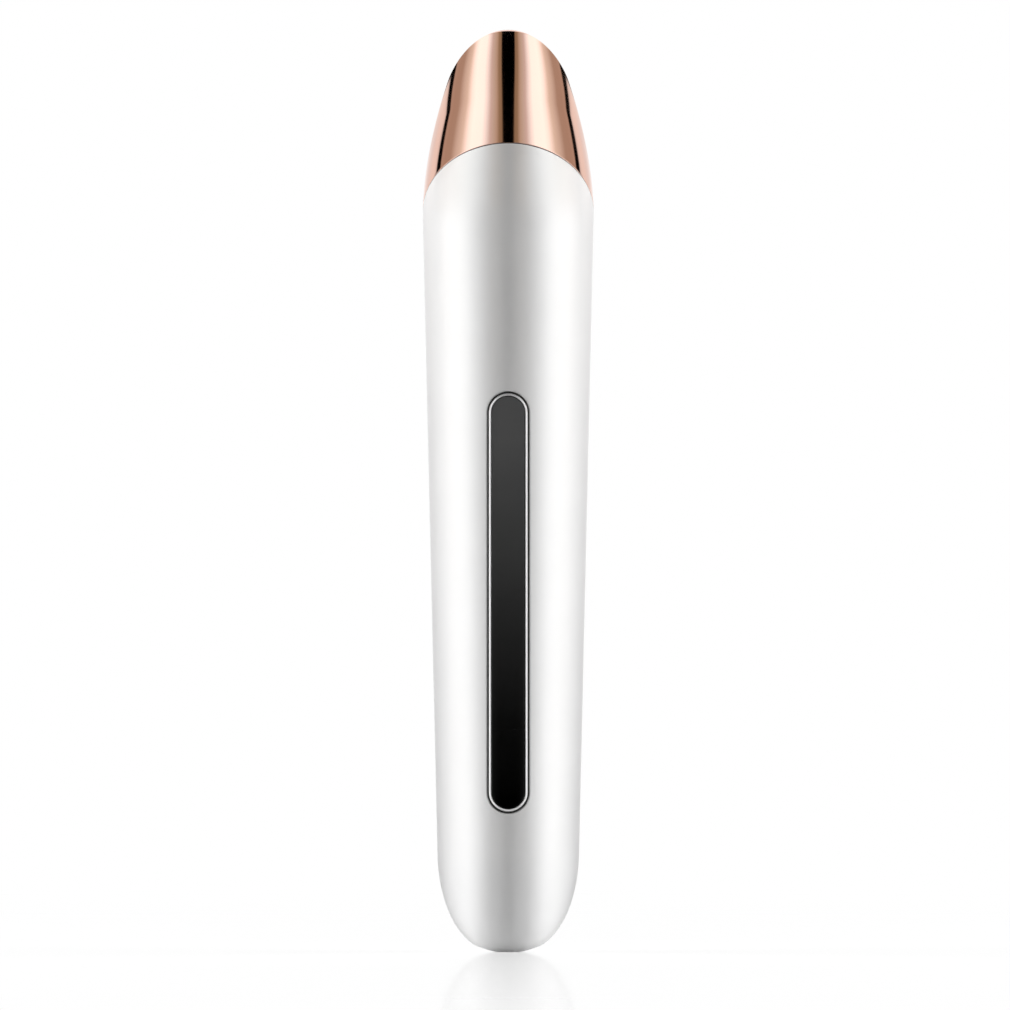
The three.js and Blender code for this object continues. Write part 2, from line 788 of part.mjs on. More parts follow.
// A cross-head screw standing on its point: head below, shank up to the top
function crossScrew(radius, headRadius, headHeight, length, headBack) {
  const underHead = headBack + headHeight;
  const crossDepth = headHeight * crossDepthShare;
  const outline = [
    [headRadius * crownShare, headBack],
    [headRadius, headBack + crossDepth],
    [headRadius, underHead],
    [radius, underHead],
    [radius, underHead + length - radius],
    [radius / 2, underHead + length],
  ];
  const bars = [0, 90].map((turn) =>
    centredBlock(
      headRadius * crossReachShare,
      -crossWidth / 2,
      crossWidth / 2,
      headBack - past,
      headBack + crossDepth,
    ).rotate([0, 0, turn]),
  );
  return without(revolve(outline, screwSides), ...bars);
}

// The strip's spine: every outline of the strip keeps this distance between its arc centres
const spineLength = stripLength - stripWidth;
const stripBlock = (radius, low, high) =>
  prism(stadium(2 * radius, spineLength + 2 * radius), low, high);
const frameOuter = stripWidth / 2;
const frameInner = frameOuter - frameLip;
const frameCrest = -frameSink;
const lipBack = frameCrest - lipDepth;
const skirtOuter = frameOuter - skirtStep;
const skirtInner = skirtOuter - skirtWall;
const flangeTop = lipBack - barPlay;
const flangeBack = flangeTop - barFlangeThickness;
const trayTop = flangeBack - barTravel - barPlay - stopPadThickness;
const trayBack = trayTop - trayThickness;

// The chrome frame: a rounded lip with a thin skirt and a snap catch at each end
function makeStripFrame() {
  const half = frameLip / 2;
  const crest = Array.from({ length: crestSteps + 1 }, (_, k) => {
    const angle = (k / crestSteps) * Math.PI;
    return [
      frameOuter - half - half * Math.cos(angle),
      frameCrest - beadRise * (1 - Math.sin(angle)),
    ];
  });
  const section = [
    [skirtInner, trayBack],
    [skirtInner, lipBack],
    [frameInner, lipBack],
    ...crest,
    [frameOuter, lipBack],
    [skirtOuter, lipBack],
    [skirtOuter, trayBack],
  ];
  const path = (radius) => stadium(2 * radius, spineLength + 2 * radius).getPoints(endSteps);
  const rings = section.map(([radius, height]) => {
    const points = path(radius).map(({ x, y }) => new THREE.Vector3(x, y, height));
    return points.filter((p, k) => k === 0 || p.distanceTo(points[k - 1]) > 1e-6);
  });
  const catches = [-1, 1].map((end) => {
    const y = end * (spineLength / 2 + skirtOuter);
    const level = stripLevel + y;
    const top = boreRadius(level) - skinRadius(level) - fitGap;
    return block(
      [-catchWidth / 2, y - skirtWall / 2 - catchReach, top - catchLength],
      [catchWidth / 2, y - skirtWall / 2 + catchReach, top],
    );
  });
  const inside = stripBlock(skirtInner, trayBack - past, lipBack);
  return joined(skinRings(rings, true), ...catches.map((c) => without(c, inside)));
}

// The press bar: a dark glossy window with a flange under the frame and a stem for the switch
function makePressBar() {
  const faceTop = frameCrest - barSink;
  const topRadius = frameInner - barClearance;
  const stemEnd = plungerTopInStrip + contactGap;
  return joined(
    stripBlock(topRadius, flangeBack, faceTop),
    stripBlock(frameInner + barFlange, flangeBack, flangeTop),
    post(stemRadius, stemEnd, flangeBack + contactGap),
  );
}

// Height in the strip's frame of a point that lies a depth in front of the wand's axis
function depthInStrip(depth, level) {
  const point = new THREE.Vector3(0, -depth, level);
  return point.applyMatrix4(stripFrame.clone().invert()).z;
}
const plungerTopInStrip = depthInStrip(boardFront + switchHeight + plungerRise, stripLevel);

function makeBarTray() {
  const tray = stripBlock(skirtInner - contactGap, trayBack, trayTop);
  const stemHole = post(stemRadius + stemClearance, trayBack - past, trayTop + past);
  const window = centredBlock(
    guideWidth + 2 * fitGap,
    guideOffset - guideLength / 2 - fitGap,
    guideOffset + guideLength / 2 + fitGap,
    trayBack - past,
    trayTop + past,
  );
  return without(tray, stemHole, window);
}

function makeLightGuide() {
  const low = guideOffset - guideLength / 2;
  const lipTop = trayBack - contactGap;
  const guide = centredBlock(guideWidth, low, low + guideLength, lipTop - guideLip, trayTop);
  const lip = centredBlock(
    guideWidth + 2 * guideLip,
    low - guideLip,
    low + guideLength + guideLip,
    lipTop - guideLip,
    lipTop,
  );
  const pipes = [-1, 0, 1].map((k) => {
    const place = guideOffset + k * ledPitch;
    const ledTop = depthInStrip(boardFront + chipGap + ledSize[2] + fitGap, stripLevel + place);
    return post(guidePipeRadius, ledTop, lipTop - guideLip / 2, 0, place, screwSides);
  });
  return joined(guide, lip, ...pipes);
}

const makeStopPad = (end) =>
  centredBlock(
    stopPadWidth,
    end * (stripLength / 2 - stopPadInset) - stopPadLength / 2,
    end * (stripLength / 2 - stopPadInset) + stopPadLength / 2,
    trayTop,
    trayTop + stopPadThickness,
  );

// The main board, with slanted lower corners and a hole for its screw
function makeMainBoard() {
  const half = boardWidth / 2;
  const outline = new THREE.Shape();
  outline.moveTo(boardCorner - half, boardFoot);
  outline.lineTo(half - boardCorner, boardFoot);
  outline.lineTo(half, boardFoot + boardCorner);
  outline.lineTo(half, boardTop);
  outline.lineTo(-half, boardTop);
  outline.lineTo(-half, boardFoot + boardCorner);
  outline.closePath();
  const board = prism(outline, boardBack, boardFront).rotate([90, 0, 0]);
  const hole = peg(
    boardScrewRadius + fitGap,
    -boardFront - past,
    past - boardBack,
    0,
    boardScrewLevel,
  );
  return without(board, hole);
}

// A part soldered on the board's front face
function onBoard([width, length, height], x, level) {
  return block(
    [x - width / 2, -boardFront - chipGap - height, level - length / 2],
    [x + width / 2, -boardFront - chipGap, level + length / 2],
  );
}

function makeInductor() {
  const level = stripLevel - inductorDrop;
  const height = inductorSize[2];
  const base = onBoard(inductorSize, partSpread, level);
  const face = -boardFront - chipGap - height;
  const ring = without(
    peg(inductorRing, face - past, face + inductorRingDepth, partSpread, level),
    peg(inductorRing - inductorRingWidth, face - past, face + past, partSpread, level),
  );
  return without(base, ring);
}

function makeSwitchBody() {
  const base = onBoard([switchSize, switchSize, switchHeight - chipGap], 0, stripLevel);
  const well = peg(
    plungerRadius + fitGap,
    -boardFront - switchHeight - past,
    -boardFront - switchHeight / 2 + barTravel,
    0,
    stripLevel,
  );
  return without(base, well);
}

const makeSwitchPlunger = () =>
  peg(
    plungerRadius,
    -boardFront - switchHeight - plungerRise,
    -boardFront - switchHeight / 2 - fitGap,
    0,
    stripLevel,
  );

// The single screw that holds the board, in the room between the cell and the motor floor
const boardScrewLevel = (upperWallTop + motorFloor) / 2;

function makeBoardScrew() {
  const screw = crossScrew(
    boardScrewRadius - fitGap,
    boardScrewHeadRadius,
    boardScrewHeadHeight,
    boardScrewLength,
    0,
  );
  const head = -boardFront - boardScrewHeadHeight - contactGap;
  return screw.rotate([-90, 0, 0]).translate([0, head, boardScrewLevel]);
}

// The round cell with its raised pole, the soldered tabs and the foam under the board
function makeCell() {
  const shoulder = cellTop - poleHeight;
  const can = revolve(
    [
      [cellRadius - cellCorner, cellFoot],
      [cellRadius, cellFoot + cellCorner],
      [cellRadius, shoulder - cellCorner],
      [cellRadius - cellCorner, shoulder],
      [poleRadius, shoulder],
      [poleRadius, cellTop],
    ],
    roundSides,
  );
  return can.translate([0, cellBehind, 0]);
}

const cellRoomAt = (low, high, gap) =>
  post(cellRadius + gap, low, high, 0, cellBehind, roundSides);

function makeCellTab(isTop) {
  const level = isTop ? cellTop + contactGap : cellFoot - contactGap - tabThickness;
  const front = contactGap - boardBack;
  const plate = centredBlock(tabWidth, front, cellBehind + tabWidth / 2, level, level + tabThickness);
  const lipFoot = isTop ? level + tabThickness - tabLip : level;
  const lip = centredBlock(tabWidth, front, front + tabThickness, lipFoot, lipFoot + tabLip);
  return joined(plate, lip);
}

function makeCellFoam() {
  const middle = (cellFoot + cellTop) / 2;
  const front = contactGap - boardBack;
  const back = cellBehind - cellRadius + foamWrap;
  const pad = centredBlock(foamWidth, front, back, middle - foamLength / 2, middle + foamLength / 2);
  return without(pad, cellRoomAt(cellFoot, cellTop, contactGap));
}

// The charging socket: a drawn steel shell, and the plastic insert with its tongue
function makeSocketShell() {
  const outer = prism(stadium(socketHeight, socketWidth), socketMouth, socketMouth + socketLength);
  const inner = prism(
    stadium(socketHeight - 2 * socketWall, socketWidth - 2 * socketWall),
    socketMouth - past,
    socketMouth + socketLength - socketWall,
  );
  return without(outer, inner).rotate([0, 0, 90]);
}

function makeSocketTongue() {
  const back = socketMouth + socketLength - socketWall - contactGap;
  const inset = 2 * (socketWall + contactGap);
  const insert = prism(
    stadium(socketHeight - inset, socketWidth - inset),
    back - insertLength,
    back,
  ).rotate([0, 0, 90]);
  const tongue = centredBlock(
    tongueWidth,
    -tongueThickness / 2,
    tongueThickness / 2,
    socketMouth + tongueSetback,
    back - insertLength + contactGap,
  );
  return joined(insert, tongue);
}

const chargeBoardFront = socketHeight / 2 + contactGap;
const chargeBoardBack = chargeBoardFront + chargeBoardThickness;
const railFront = chargeBoardFront - railDepth / 3;
const railBack = chargeBoardBack + railDepth / 3;
const makeChargeBoard = () =>
  centredBlock(
    chargeBoardWidth,
    chargeBoardFront,
    chargeBoardBack,
    chargeBoardFoot,
    chargeBoardFoot + chargeBoardLength,
  );

// A round outline with two flats, as the motor and everything round it has
function doubleFlat(radius, flat, low, high, sides = roundSides) {
  const round = post(radius, low, high, 0, 0, sides);
  return round.intersect(centredBlock(4 * radius, -flat, flat, low - past, high + past));
}

function makeMotorCan() {
  const foot = motorFoot + motorCapLength;
  const can = doubleFlat(motorRadius, motorFlat, foot, motorTop);
  const bearingSeat = post(
    bearingRadius + contactGap,
    motorTop - (bearingLength - motorNose) - contactGap,
    motorTop + past,
  );
  const shaftRoom = post(shaftRadius + shaftClearance, foot - past, motorTop + past);
  return without(can, bearingSeat, shaftRoom);
}

function makeMotorCap() {
  const cap = doubleFlat(
    motorRadius - capStep,
    motorFlat - capStep,
    motorFoot,
    motorFoot + motorCapLength - contactGap,
  );
  const shaftRoom = post(shaftRadius + shaftClearance, motorFoot + terminalSeat, motorTop);
  const slots = [-1, 1].map((side) => terminalBlock(side, contactGap, motorFoot - past));
  return without(cap, shaftRoom, ...slots);
}

// A terminal's flat blade, or with a margin the slot it stands in
function terminalBlock(side, margin, foot) {
  const [width, thickness] = terminalSize;
  return block(
    [side * terminalSpread - width / 2 - margin, -thickness / 2 - margin, foot],
    [
      side * terminalSpread + width / 2 + margin,
      thickness / 2 + margin,
      motorFoot + terminalSeat - contactGap + margin,
    ],
  );
}
const makeTerminal = (side) => terminalBlock(side, 0, motorFoot - terminalSize[2]);

function makeBearing() {
  const nose = post(bearingRadius, motorTop - (bearingLength - motorNose), motorTop + motorNose);
  return without(nose, post(shaftRadius + shaftClearance, motorFoot, motorTop + motorNose + past));
}

const makeShaft = () =>
  post(shaftRadius, motorFoot + terminalSeat + contactGap, motorTop + shaftTop);

// The half-moon weight that shakes the head as it spins
function makeWeight() {
  const low = motorTop + motorNose + weightGap;
  const moon = post(weightRadius, low, low + weightLength, 0, 0, roundSides).intersect(
    centredBlock(4 * weightRadius, 0, 2 * weightRadius, low - past, low + weightLength + past),
  );
  const hub = post(weightHub, low, low + weightLength);
  const hole = post(shaftRadius + pressGap, low - past, low + weightLength + past);
  return without(joined(moon, hub), hole);
}

function makeBoot() {
  const low = motorFoot + motorCapLength + bootSetback;
  const high = low + bootLength;
  return without(
    doubleFlat(motorRadius + bootThickness, motorFlat + bootThickness, low, high),
    doubleFlat(motorRadius + pressGap, motorFlat + pressGap, low - past, high + past),
  );
}

// The chassis: a trough behind the boards, hollowed into rooms between its bulkheads
function makeChassis() {
  const flangeFoot = chassisTop - flangeThickness;
  const bend = Math.min(mouthFoot, chassisTop - contactGap);
  const outside = [chassisFoot, bend, chassisTop].map((level) => [
    boreRadius(level) - chassisGap,
    level,
  ]);
  const inside = [chassisFoot - past, bend, chassisTop].map((level) => [
    boreRadius(level) - chassisGap - chassisWall,
    level,
  ]);
  const front = block([-farAway, -farAway, 0], [farAway, contactGap - boardBack, flangeFoot]);
  const body = without(revolve(outside, boreSides), front);
  const inner = revolve(inside, boreSides);
  const room = (low, high) =>
    inner.intersect(block([-farAway, -farAway, low], [farAway, farAway, high]));

  // Charging room with a rail on each side for the charging board
  const railReach = chargeBoardWidth / 2 - railDepth / 3;
  const rails = without(
    centredBlock(4 * chargeBoardWidth, railFront, railBack, 0, cellWallTop),
    centredBlock(2 * railReach, railFront - past, railBack + past, 0, cellWallTop),
  );
  const railGroove = centredBlock(
    chargeBoardWidth + 2 * fitGap,
    chargeBoardFront - contactGap,
    chargeBoardBack + contactGap,
    0,
    cellWallFoot - fitGap,
  );
  const chargeRoom = without(room(0, cellWallFoot), rails);
  const leadWindow = centredBlock(
    windowWidth,
    -farAway,
    -windowSetback,
    cellWallFoot - past,
    cellWallTop + past,
  );

  // Cell room, crossed by curved saddles behind the cell
  const bays = Array.from({ length: saddleCount + 1 }, (_, k) => {
    const pitch = (upperWallFoot - cellWallTop) / (saddleCount + 1);
    const low = cellWallTop + k * pitch + (k > 0 ? saddleWidth / 2 : 0);
    const high = cellWallTop + (k + 1) * pitch - (k < saddleCount ? saddleWidth / 2 : 0);
    return room(low, high);
  });
  const cellRoom = cellRoomAt(cellWallTop, upperWallFoot, fitGap);
  const besideCell = room(cellWallTop, upperWallFoot).intersect(
    block([-farAway, -farAway, 0], [farAway, cellBehind, farAway]),
  );

  // Screw room with the boss for the board screw
  const bossEnd = boreRadius(boardScrewLevel) - 2 * chassisGap;
  const boss = peg(boardBossRadius, contactGap - boardBack, bossEnd, 0, boardScrewLevel);
  const pilot = peg(
    boardScrewRadius,
    -boardBack - past,
    boardScrewLength - boardBack,
    0,
    boardScrewLevel,
  );
  const screwRoom = without(room(upperWallTop, motorFloor), boss);

  // Motor room with a cradle that grips the rubber boot
  const bootRadius = motorRadius + bootThickness + fitGap;
  const bootFlat = motorFlat + bootThickness + fitGap;
  const motorSeat = doubleFlat(bootRadius, bootFlat, motorFloorTop, chassisTop + past);
  const cradle = post(bootRadius + cradleWall, motorFloor, chassisTop, 0, 0, roundSides).intersect(
    centredBlock(farAway, -cradleHalf, cradleHalf, motorFloor, chassisTop),
  );
  const motorRoom = without(room(motorFloorTop, flangeFoot), cradle);
  const floorOpening = block(
    [-windowWidth / 2, -farAway, motorFloor - past],
    [windowWidth / 2, windowReach, motorFloorTop + past],
  );
  const notches = [-1, 1].map((side) =>
    post(notchRadius, flangeFoot - past, chassisTop + past, side * leadColumn[0], leadColumn[1]),
  );
  const screwHoles = [-1, 1].map((side) =>
    post(headScrewRadius + 2 * fitGap, flangeFoot - past, chassisTop + past, 0, side * bossOffset),
  );
  return without(
    body,
    chargeRoom,
    railGroove,
    leadWindow,
    ...bays,
    cellRoom,
    besideCell,
    screwRoom,
    pilot,
    motorRoom,
    motorSeat,
    floorOpening,
    ...notches,
    ...screwHoles,
  );
}

// Two screws that tie the chassis to the head, driven from below
function makeHeadScrew(side) {
  const head = chassisTop - flangeThickness - headScrewHeadHeight - contactGap;
  return crossScrew(
    headScrewRadius,
    headScrewHeadRadius,
    headScrewHeadHeight,
    headScrewLength,
    head,
  ).translate([0, side * bossOffset, 0]);
}

function makePlateScrew([x, y]) {
  const head = retainerBack - plateScrewHeadHeight - contactGap;
  return crossScrew(
    plateScrewRadius - contactGap,
    plateScrewHeadRadius,
    plateScrewHeadHeight,
    plateScrewLength,
    head,
  ).translate([x, y, 0]);
}

// Leads run beside the motor in this column, in front of the axis
const leadColumn = [5, -boardFront - leadRadius - contactGap];

// An insulated lead along a smooth route of chosen points
function makeLead(points, steps) {
  const route = new THREE.CatmullRomCurve3(points.map((p) => new THREE.Vector3(...p)));
  const section = new THREE.Shape();
  for (let k = 0; k < leadSides; k++) {
    const angle = (k / leadSides) * 2 * Math.PI;
    const place = [leadRadius * Math.cos(angle), leadRadius * Math.sin(angle)];
    if (k === 0) section.moveTo(...place);
    else section.lineTo(...place);
  }
  section.closePath();
  const options = { steps, bevelEnabled: false, extrudePath: route };
  return solidOf(new THREE.ExtrudeGeometry(section, options));
}

const leadFront = leadColumn[1];

function makeHeaterLead(side) {
  const [x, y] = heaterLeadPlace;
  const atFace = (depth) => {
    const point = new THREE.Vector3(side * x, y, depth).applyMatrix4(faceFrame);
    return [point.x, point.y, point.z];
  };
  const inColumn = (level) => [side * leadColumn[0], leadFront, level];
  return makeLead(
    [
      atFace(padTop - contactGap),
      atFace(retainerBack - 2 * leadRadius),
      inColumn(motorTop + shaftTop),
      inColumn(motorTop),
      inColumn(chassisTop),
      inColumn(motorFloorTop),
      inColumn(boardTop - heaterJointDrop),
    ],
    heaterLeadSteps,
  );
}

function makeMotorLead(side) {
  const level = motorFoot - terminalSize[2] / 2;
  const passage = (motorFloor + boardTop) / 2;
  const x = side * motorLeadSpread;
  return makeLead(
    [
      [side * terminalSpread, -terminalSize[1] / 2 - leadRadius - contactGap, level],
      [side * (terminalSpread - leadRadius), -motorLeadBend, level],
      [x, -boardBack, passage + leadRadius + leadBend],
      [x, leadFront - fitGap, passage + leadRadius],
      [x, leadFront, boardTop - leadBend],
      [x, leadFront, boardTop - motorJointDrop],
    ],
    motorLeadSteps,
  );
}

function makeChargeLead(side) {
  const x = side * chargeLeadSpread;
  const level = chargeBoardFoot + chargeBoardLength - chargeJointDrop;
  return makeLead(
    [
      [x, chargeBoardFront - contactGap, level],
      [x, chargeBoardFront - leadBend, level],
      [x, -boardBack + leadBend, level + leadRadius],
      [x, -boardBack + contactGap, level + leadRadius],
    ],
    chargeLeadSteps,
  );
}

const wand = new THREE.Group();
const strip = new THREE.Group();
const face = new THREE.Group();
strip.applyMatrix4(stripFrame);
face.applyMatrix4(faceFrame);
wand.add(strip, face);

function place(parent, name, solid, material) {
  const mesh = new THREE.Mesh(geometryOf(solid), material);
  mesh.name = name;
  parent.add(mesh);
}

// Casing
place(wand, "grip_body", makeGrip(), whiteLacquer);
place(wand, "head_shell", makeHeadShell(), roseGold);
place(wand, "seam_gasket", makeSeamGasket(), darkRubber);
place(wand, "sealing_ring", makeSealingRing(), darkRubber);

// Warm face, in its own leaning frame
place(face, "contact_plate", makeContactPlate(), polishedRoseGold);
place(face, "plate_seal", makePlateSeal(), darkRubber);
place(face, "heater_film", makeHeaterFilm(), filmAmber);
place(face, "heater_pad", makeHeaterPad(), foamGrey);
place(face, "temperature_sensor", makeTemperatureSensor(), blackPlastic);
place(face, "plate_retainer", makePlateRetainer(), blackPlastic);
studPlaces.forEach((spot, k) => {
  place(face, "plate_screw_" + (k + 1), makePlateScrew(spot), steel);
});

// Control strip, in its own leaning frame
place(strip, "strip_frame", makeStripFrame(), chrome);
place(strip, "press_bar", makePressBar(), smokedGloss);
place(strip, "bar_tray", makeBarTray(), blackPlastic);
place(strip, "light_guide", makeLightGuide(), clearPlastic);
place(strip, "stop_pad_lower", makeStopPad(-1), darkRubber);
place(strip, "stop_pad_upper", makeStopPad(1), darkRubber);

// Electronics
place(wand, "main_board", makeMainBoard(), boardGreen);
place(wand, "switch_body", makeSwitchBody(), steel);
place(wand, "switch_plunger", makeSwitchPlunger(), blackPlastic);
[-1, 0, 1].forEach((k) => {
  const level = stripLevel + guideOffset + k * ledPitch;
  place(wand, "status_led_" + (k + 2), onBoard(ledSize, 0, level), ledWhite);
});
place(
  wand,
  "controller_chip",
  onBoard(controllerSize, 0, stripLevel - controllerDrop),
  blackPlastic,
);
place(
  wand,
  "charger_chip",
  onBoard(chargerSize, -partSpread, stripLevel - chargerDrop),
  blackPlastic,
);
place(wand, "inductor", makeInductor(), tungsten);
place(
  wand,
  "capacitor",
  onBoard(capacitorSize, -partSpread, stripLevel - inductorDrop),
  bronze,
);
place(wand, "board_screw", makeBoardScrew(), steel);
place(wand, "charge_board", makeChargeBoard(), boardGreen);
place(wand, "socket_shell", makeSocketShell(), nickel);
place(wand, "socket_tongue", makeSocketTongue(), blackPlastic);

// Cell
place(wand, "cell", makeCell(), cellWrap);
place(wand, "cell_tab_upper", makeCellTab(true), nickel);
place(wand, "cell_tab_lower", makeCellTab(false), nickel);
place(wand, "cell_foam", makeCellFoam(), foamGrey);

// Motor
place(wand, "motor_can", makeMotorCan(), steel);
place(wand, "motor_cap", makeMotorCap(), clearPlastic);
place(wand, "motor_terminal_left", makeTerminal(-1), nickel);
place(wand, "motor_terminal_right", makeTerminal(1), nickel);
place(wand, "motor_bearing", makeBearing(), bronze);
place(wand, "motor_boot", makeBoot(), darkRubber);
place(wand, "motor_shaft", makeShaft(), steel);
place(wand, "eccentric_weight", makeWeight(), tungsten);

// Chassis, screws and leads
place(wand, "chassis", makeChassis(), greyPlastic);
place(wand, "head_screw_front", makeHeadScrew(-1), steel);
place(wand, "head_screw_rear", makeHeadScrew(1), steel);
place(wand, "heater_lead_left", makeHeaterLead(-1), wireRed);
place(wand, "heater_lead_right", makeHeaterLead(1), wireBlack);
place(wand, "motor_lead_left", makeMotorLead(-1), wireRed);
place(wand, "motor_lead_right", makeMotorLead(1), wireBlack);
place(wand, "charge_lead_left", makeChargeLead(-1), wireRed);
place(wand, "charge_lead_right", makeChargeLead(1), wireBlack);

export default wand;
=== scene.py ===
# A heated eye massager wand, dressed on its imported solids. Shapes are worked out in
# millimetres, in the same frame as the solids, and written to the meshes in metres.
import math
import bpy
import numpy as np
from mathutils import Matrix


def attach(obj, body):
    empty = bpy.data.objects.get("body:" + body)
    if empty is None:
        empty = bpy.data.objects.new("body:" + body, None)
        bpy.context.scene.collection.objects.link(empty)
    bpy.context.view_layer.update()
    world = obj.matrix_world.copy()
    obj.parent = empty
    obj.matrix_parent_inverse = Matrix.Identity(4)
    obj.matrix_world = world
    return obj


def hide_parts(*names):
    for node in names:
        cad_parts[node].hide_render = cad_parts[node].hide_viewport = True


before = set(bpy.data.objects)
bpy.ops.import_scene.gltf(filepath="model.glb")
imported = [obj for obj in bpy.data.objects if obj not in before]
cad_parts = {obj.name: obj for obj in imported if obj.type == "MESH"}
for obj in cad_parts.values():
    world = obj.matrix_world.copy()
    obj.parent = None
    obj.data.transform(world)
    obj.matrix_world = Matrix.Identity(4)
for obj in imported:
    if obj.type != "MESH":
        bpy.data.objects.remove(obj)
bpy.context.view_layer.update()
print("frame loaded:", len(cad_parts), "nodes")

scene = bpy.context.scene
scene.view_settings.view_transform = "Standard"
millimetre = 0.001


def newObject(name, data):
    made = bpy.data.objects.new(name, data)
    scene.collection.objects.link(made)
    return made


# Camera: level, square to the control strip, through a very long lens
cameraView = {
    "lens": 800,
    "sensor": 36,
    "frameWidth": 149.0,  # what the square picture spans at the wand's axis
    "centreX": -0.48,
    "centreZ": 65.9,
    "farthest": 20,  # metres
}


def makeCamera():
    c = cameraView
    data = bpy.data.cameras.new("photoCamera")
    data.lens, data.sensor_width, data.clip_end = c["lens"], c["sensor"], c["farthest"]
    distance = c["frameWidth"] * c["lens"] / c["sensor"]
    camera = newObject("photoCamera", data)
    camera.location = [n * millimetre for n in (c["centreX"], -distance, c["centreZ"])]
    camera.rotation_euler = (math.pi / 2, 0, 0)
    scene.camera = camera


makeCamera()


# Mesh tools. A body holds blocks of points and lists of corner numbers.
def newBody():
    return {"points": [], "count": 0, "quads": [np.zeros((0, 4), int)],
            "corners": [np.zeros((0, 3), int)]}


# Adds an array of points and returns the number of each, in the array's own layout
def addPoints(body, points):
    first = body["count"]
    body["points"].append(points.reshape(-1, 3))
    body["count"] += points[..., 0].size
    return first + np.arange(points[..., 0].size).reshape(points.shape[:-1])


# Quads between neighbouring rows and columns of a grid of point numbers
def addGrid(body, index, closeRows=False, keep=None):
    right = np.roll(index, -1, axis=1)
    above = np.roll(index, -1, axis=0)
    quads = np.stack([index, right, np.roll(right, -1, axis=0), above], axis=-1)
    if not closeRows:
        quads = quads[:-1]
    quads = quads.reshape(-1, 4) if keep is None else quads[keep].reshape(-1, 4)
    body["quads"].append(quads)


# Triangles from a ring of point numbers to one middle point
def addFan(body, ring, middle):
    centre = addPoints(body, np.asarray(middle, float).reshape(1, 3))[0]
    fan = np.stack([ring, np.roll(ring, -1), np.full_like(ring, centre)], axis=-1)
    body["corners"].append(fan)


# One closed body as arrays, turned outwards where its signed volume is negative
def closedBody(body):
    points = np.concatenate(body["points"])
    quads, corners = np.concatenate(body["quads"]), np.concatenate(body["corners"])
    triangles = np.concatenate([quads[:, [0, 1, 2]], quads[:, [0, 2, 3]], corners])
    a, b, c = (points[triangles[:, k]] for k in range(3))
    if np.einsum("ij,ij->", a, np.cross(b, c)) < 0:
        quads, corners = quads[:, ::-1], corners[:, ::-1]
    return points, quads, corners


# Writes closed bodies into one mesh object at the origin. Each body may come with the
# number of its material.
def makePiece(name, bodies, materials, sharpAngle=40):
    points, quads, corners = [], [], []
    for entry in bodies:
        body, number = entry if isinstance(entry, tuple) else (entry, 0)
        bodyPoints, *bodyFaces = closedBody(body)
        for listed, added in zip((quads, corners), bodyFaces):
            listed += [(ring, number) for ring in (added + len(points)).tolist()]
        points += (bodyPoints * millimetre).tolist()
    faces, numbers = zip(*quads, *corners)
    mesh = bpy.data.meshes.new(name)
    mesh.from_pydata(points, [], faces)
    mesh.polygons.foreach_set("material_index", numbers)
    mesh.validate()
    mesh.shade_smooth()
    mesh.set_sharp_from_angle(angle=math.radians(sharpAngle))
    for material in materials:
        mesh.materials.append(material)
    return newObject(name, mesh)


# A piece in the place of a solid, with its finishes by name
def standIn(node, name, bodies, finishNames, body="casing"):
    piece = makePiece(name, bodies, [look(finishName) for finishName in finishNames])
    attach(piece, body)
    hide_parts(node)
    print("made", name)


# Outer form of the wand, with the sizes of the solids
wand = {
    "length": 136,
    "footHeight": 15,
    "footTrim": 0.25,
    "footRadius": 10.46,
    "footFullness": 2.5,  # 2 makes the foot half an ellipse, more makes it fuller
    "headLength": 28,
    "shoulderRadius": 12.6,
    "tipRadius": 6,
    "tipSlope": 0.447,
    "lowerPull": 0.286,
    "upperPull": 0.333,
    "seamRise": 1.5,
    "seamTilt": math.radians(40.2),
    "faceTilt": math.radians(53.5),
    "gasket": 0.25,
    "around": 240,  # points round the wand
}
footHeight, footRadius = wand["footHeight"], wand["footRadius"]
shoulderHeight = wand["length"] - wand["headLength"]
seamHeight = shoulderHeight + wand["seamRise"]
faceHeight = wand["length"] - math.tan(wand["faceTilt"]) * wand["tipRadius"]
taper = (wand["shoulderRadius"] - footRadius) / (shoulderHeight - footHeight)
theta = np.arange(wand["around"]) / wand["around"] * 2 * math.pi  # from the front to the right


# Points of the head's profile: a cubic curve from the shoulder to the tip, whose inner
# pulls follow the grip's taper and the tip's slope.
def headProfile(samples=6000):
    t = np.linspace(0, 1, samples)
    span, low, high = wand["headLength"], wand["lowerPull"], wand["upperPull"]
    radius = (wand["shoulderRadius"], wand["shoulderRadius"] + taper * low * span,
              wand["tipRadius"] + wand["tipSlope"] * high * span, wand["tipRadius"])
    height = (shoulderHeight, shoulderHeight + low * span,
              wand["length"] - high * span, wand["length"])
    weights = ((1 - t) ** 3, 3 * t * (1 - t) ** 2, 3 * t ** 2 * (1 - t), t ** 3)
    return [sum(w * p for w, p in zip(weights, pulls)) for pulls in (height, radius)]


headHeights, headRadii = headProfile()


# Skin radius at a height: in the foot R (1 - drop squared) to the power 1 / fullness,
# then a cone, then the head's profile
def skinRadius(height):
    height = np.asarray(height, float)
    drop = np.clip((footHeight - height) / (footHeight + wand["footTrim"]), 0, 1)
    foot = footRadius * (1 - drop ** 2) ** (1 / wand["footFullness"])
    cone = footRadius + taper * (height - footHeight)
    head = np.interp(height, headHeights, headRadii)
    beyond = wand["tipRadius"] - wand["tipSlope"] * (height - wand["length"])
    body = np.where(height < footHeight, foot, cone)
    body = np.where(height > shoulderHeight, head, body)
    return np.where(height > wand["length"], beyond, body)


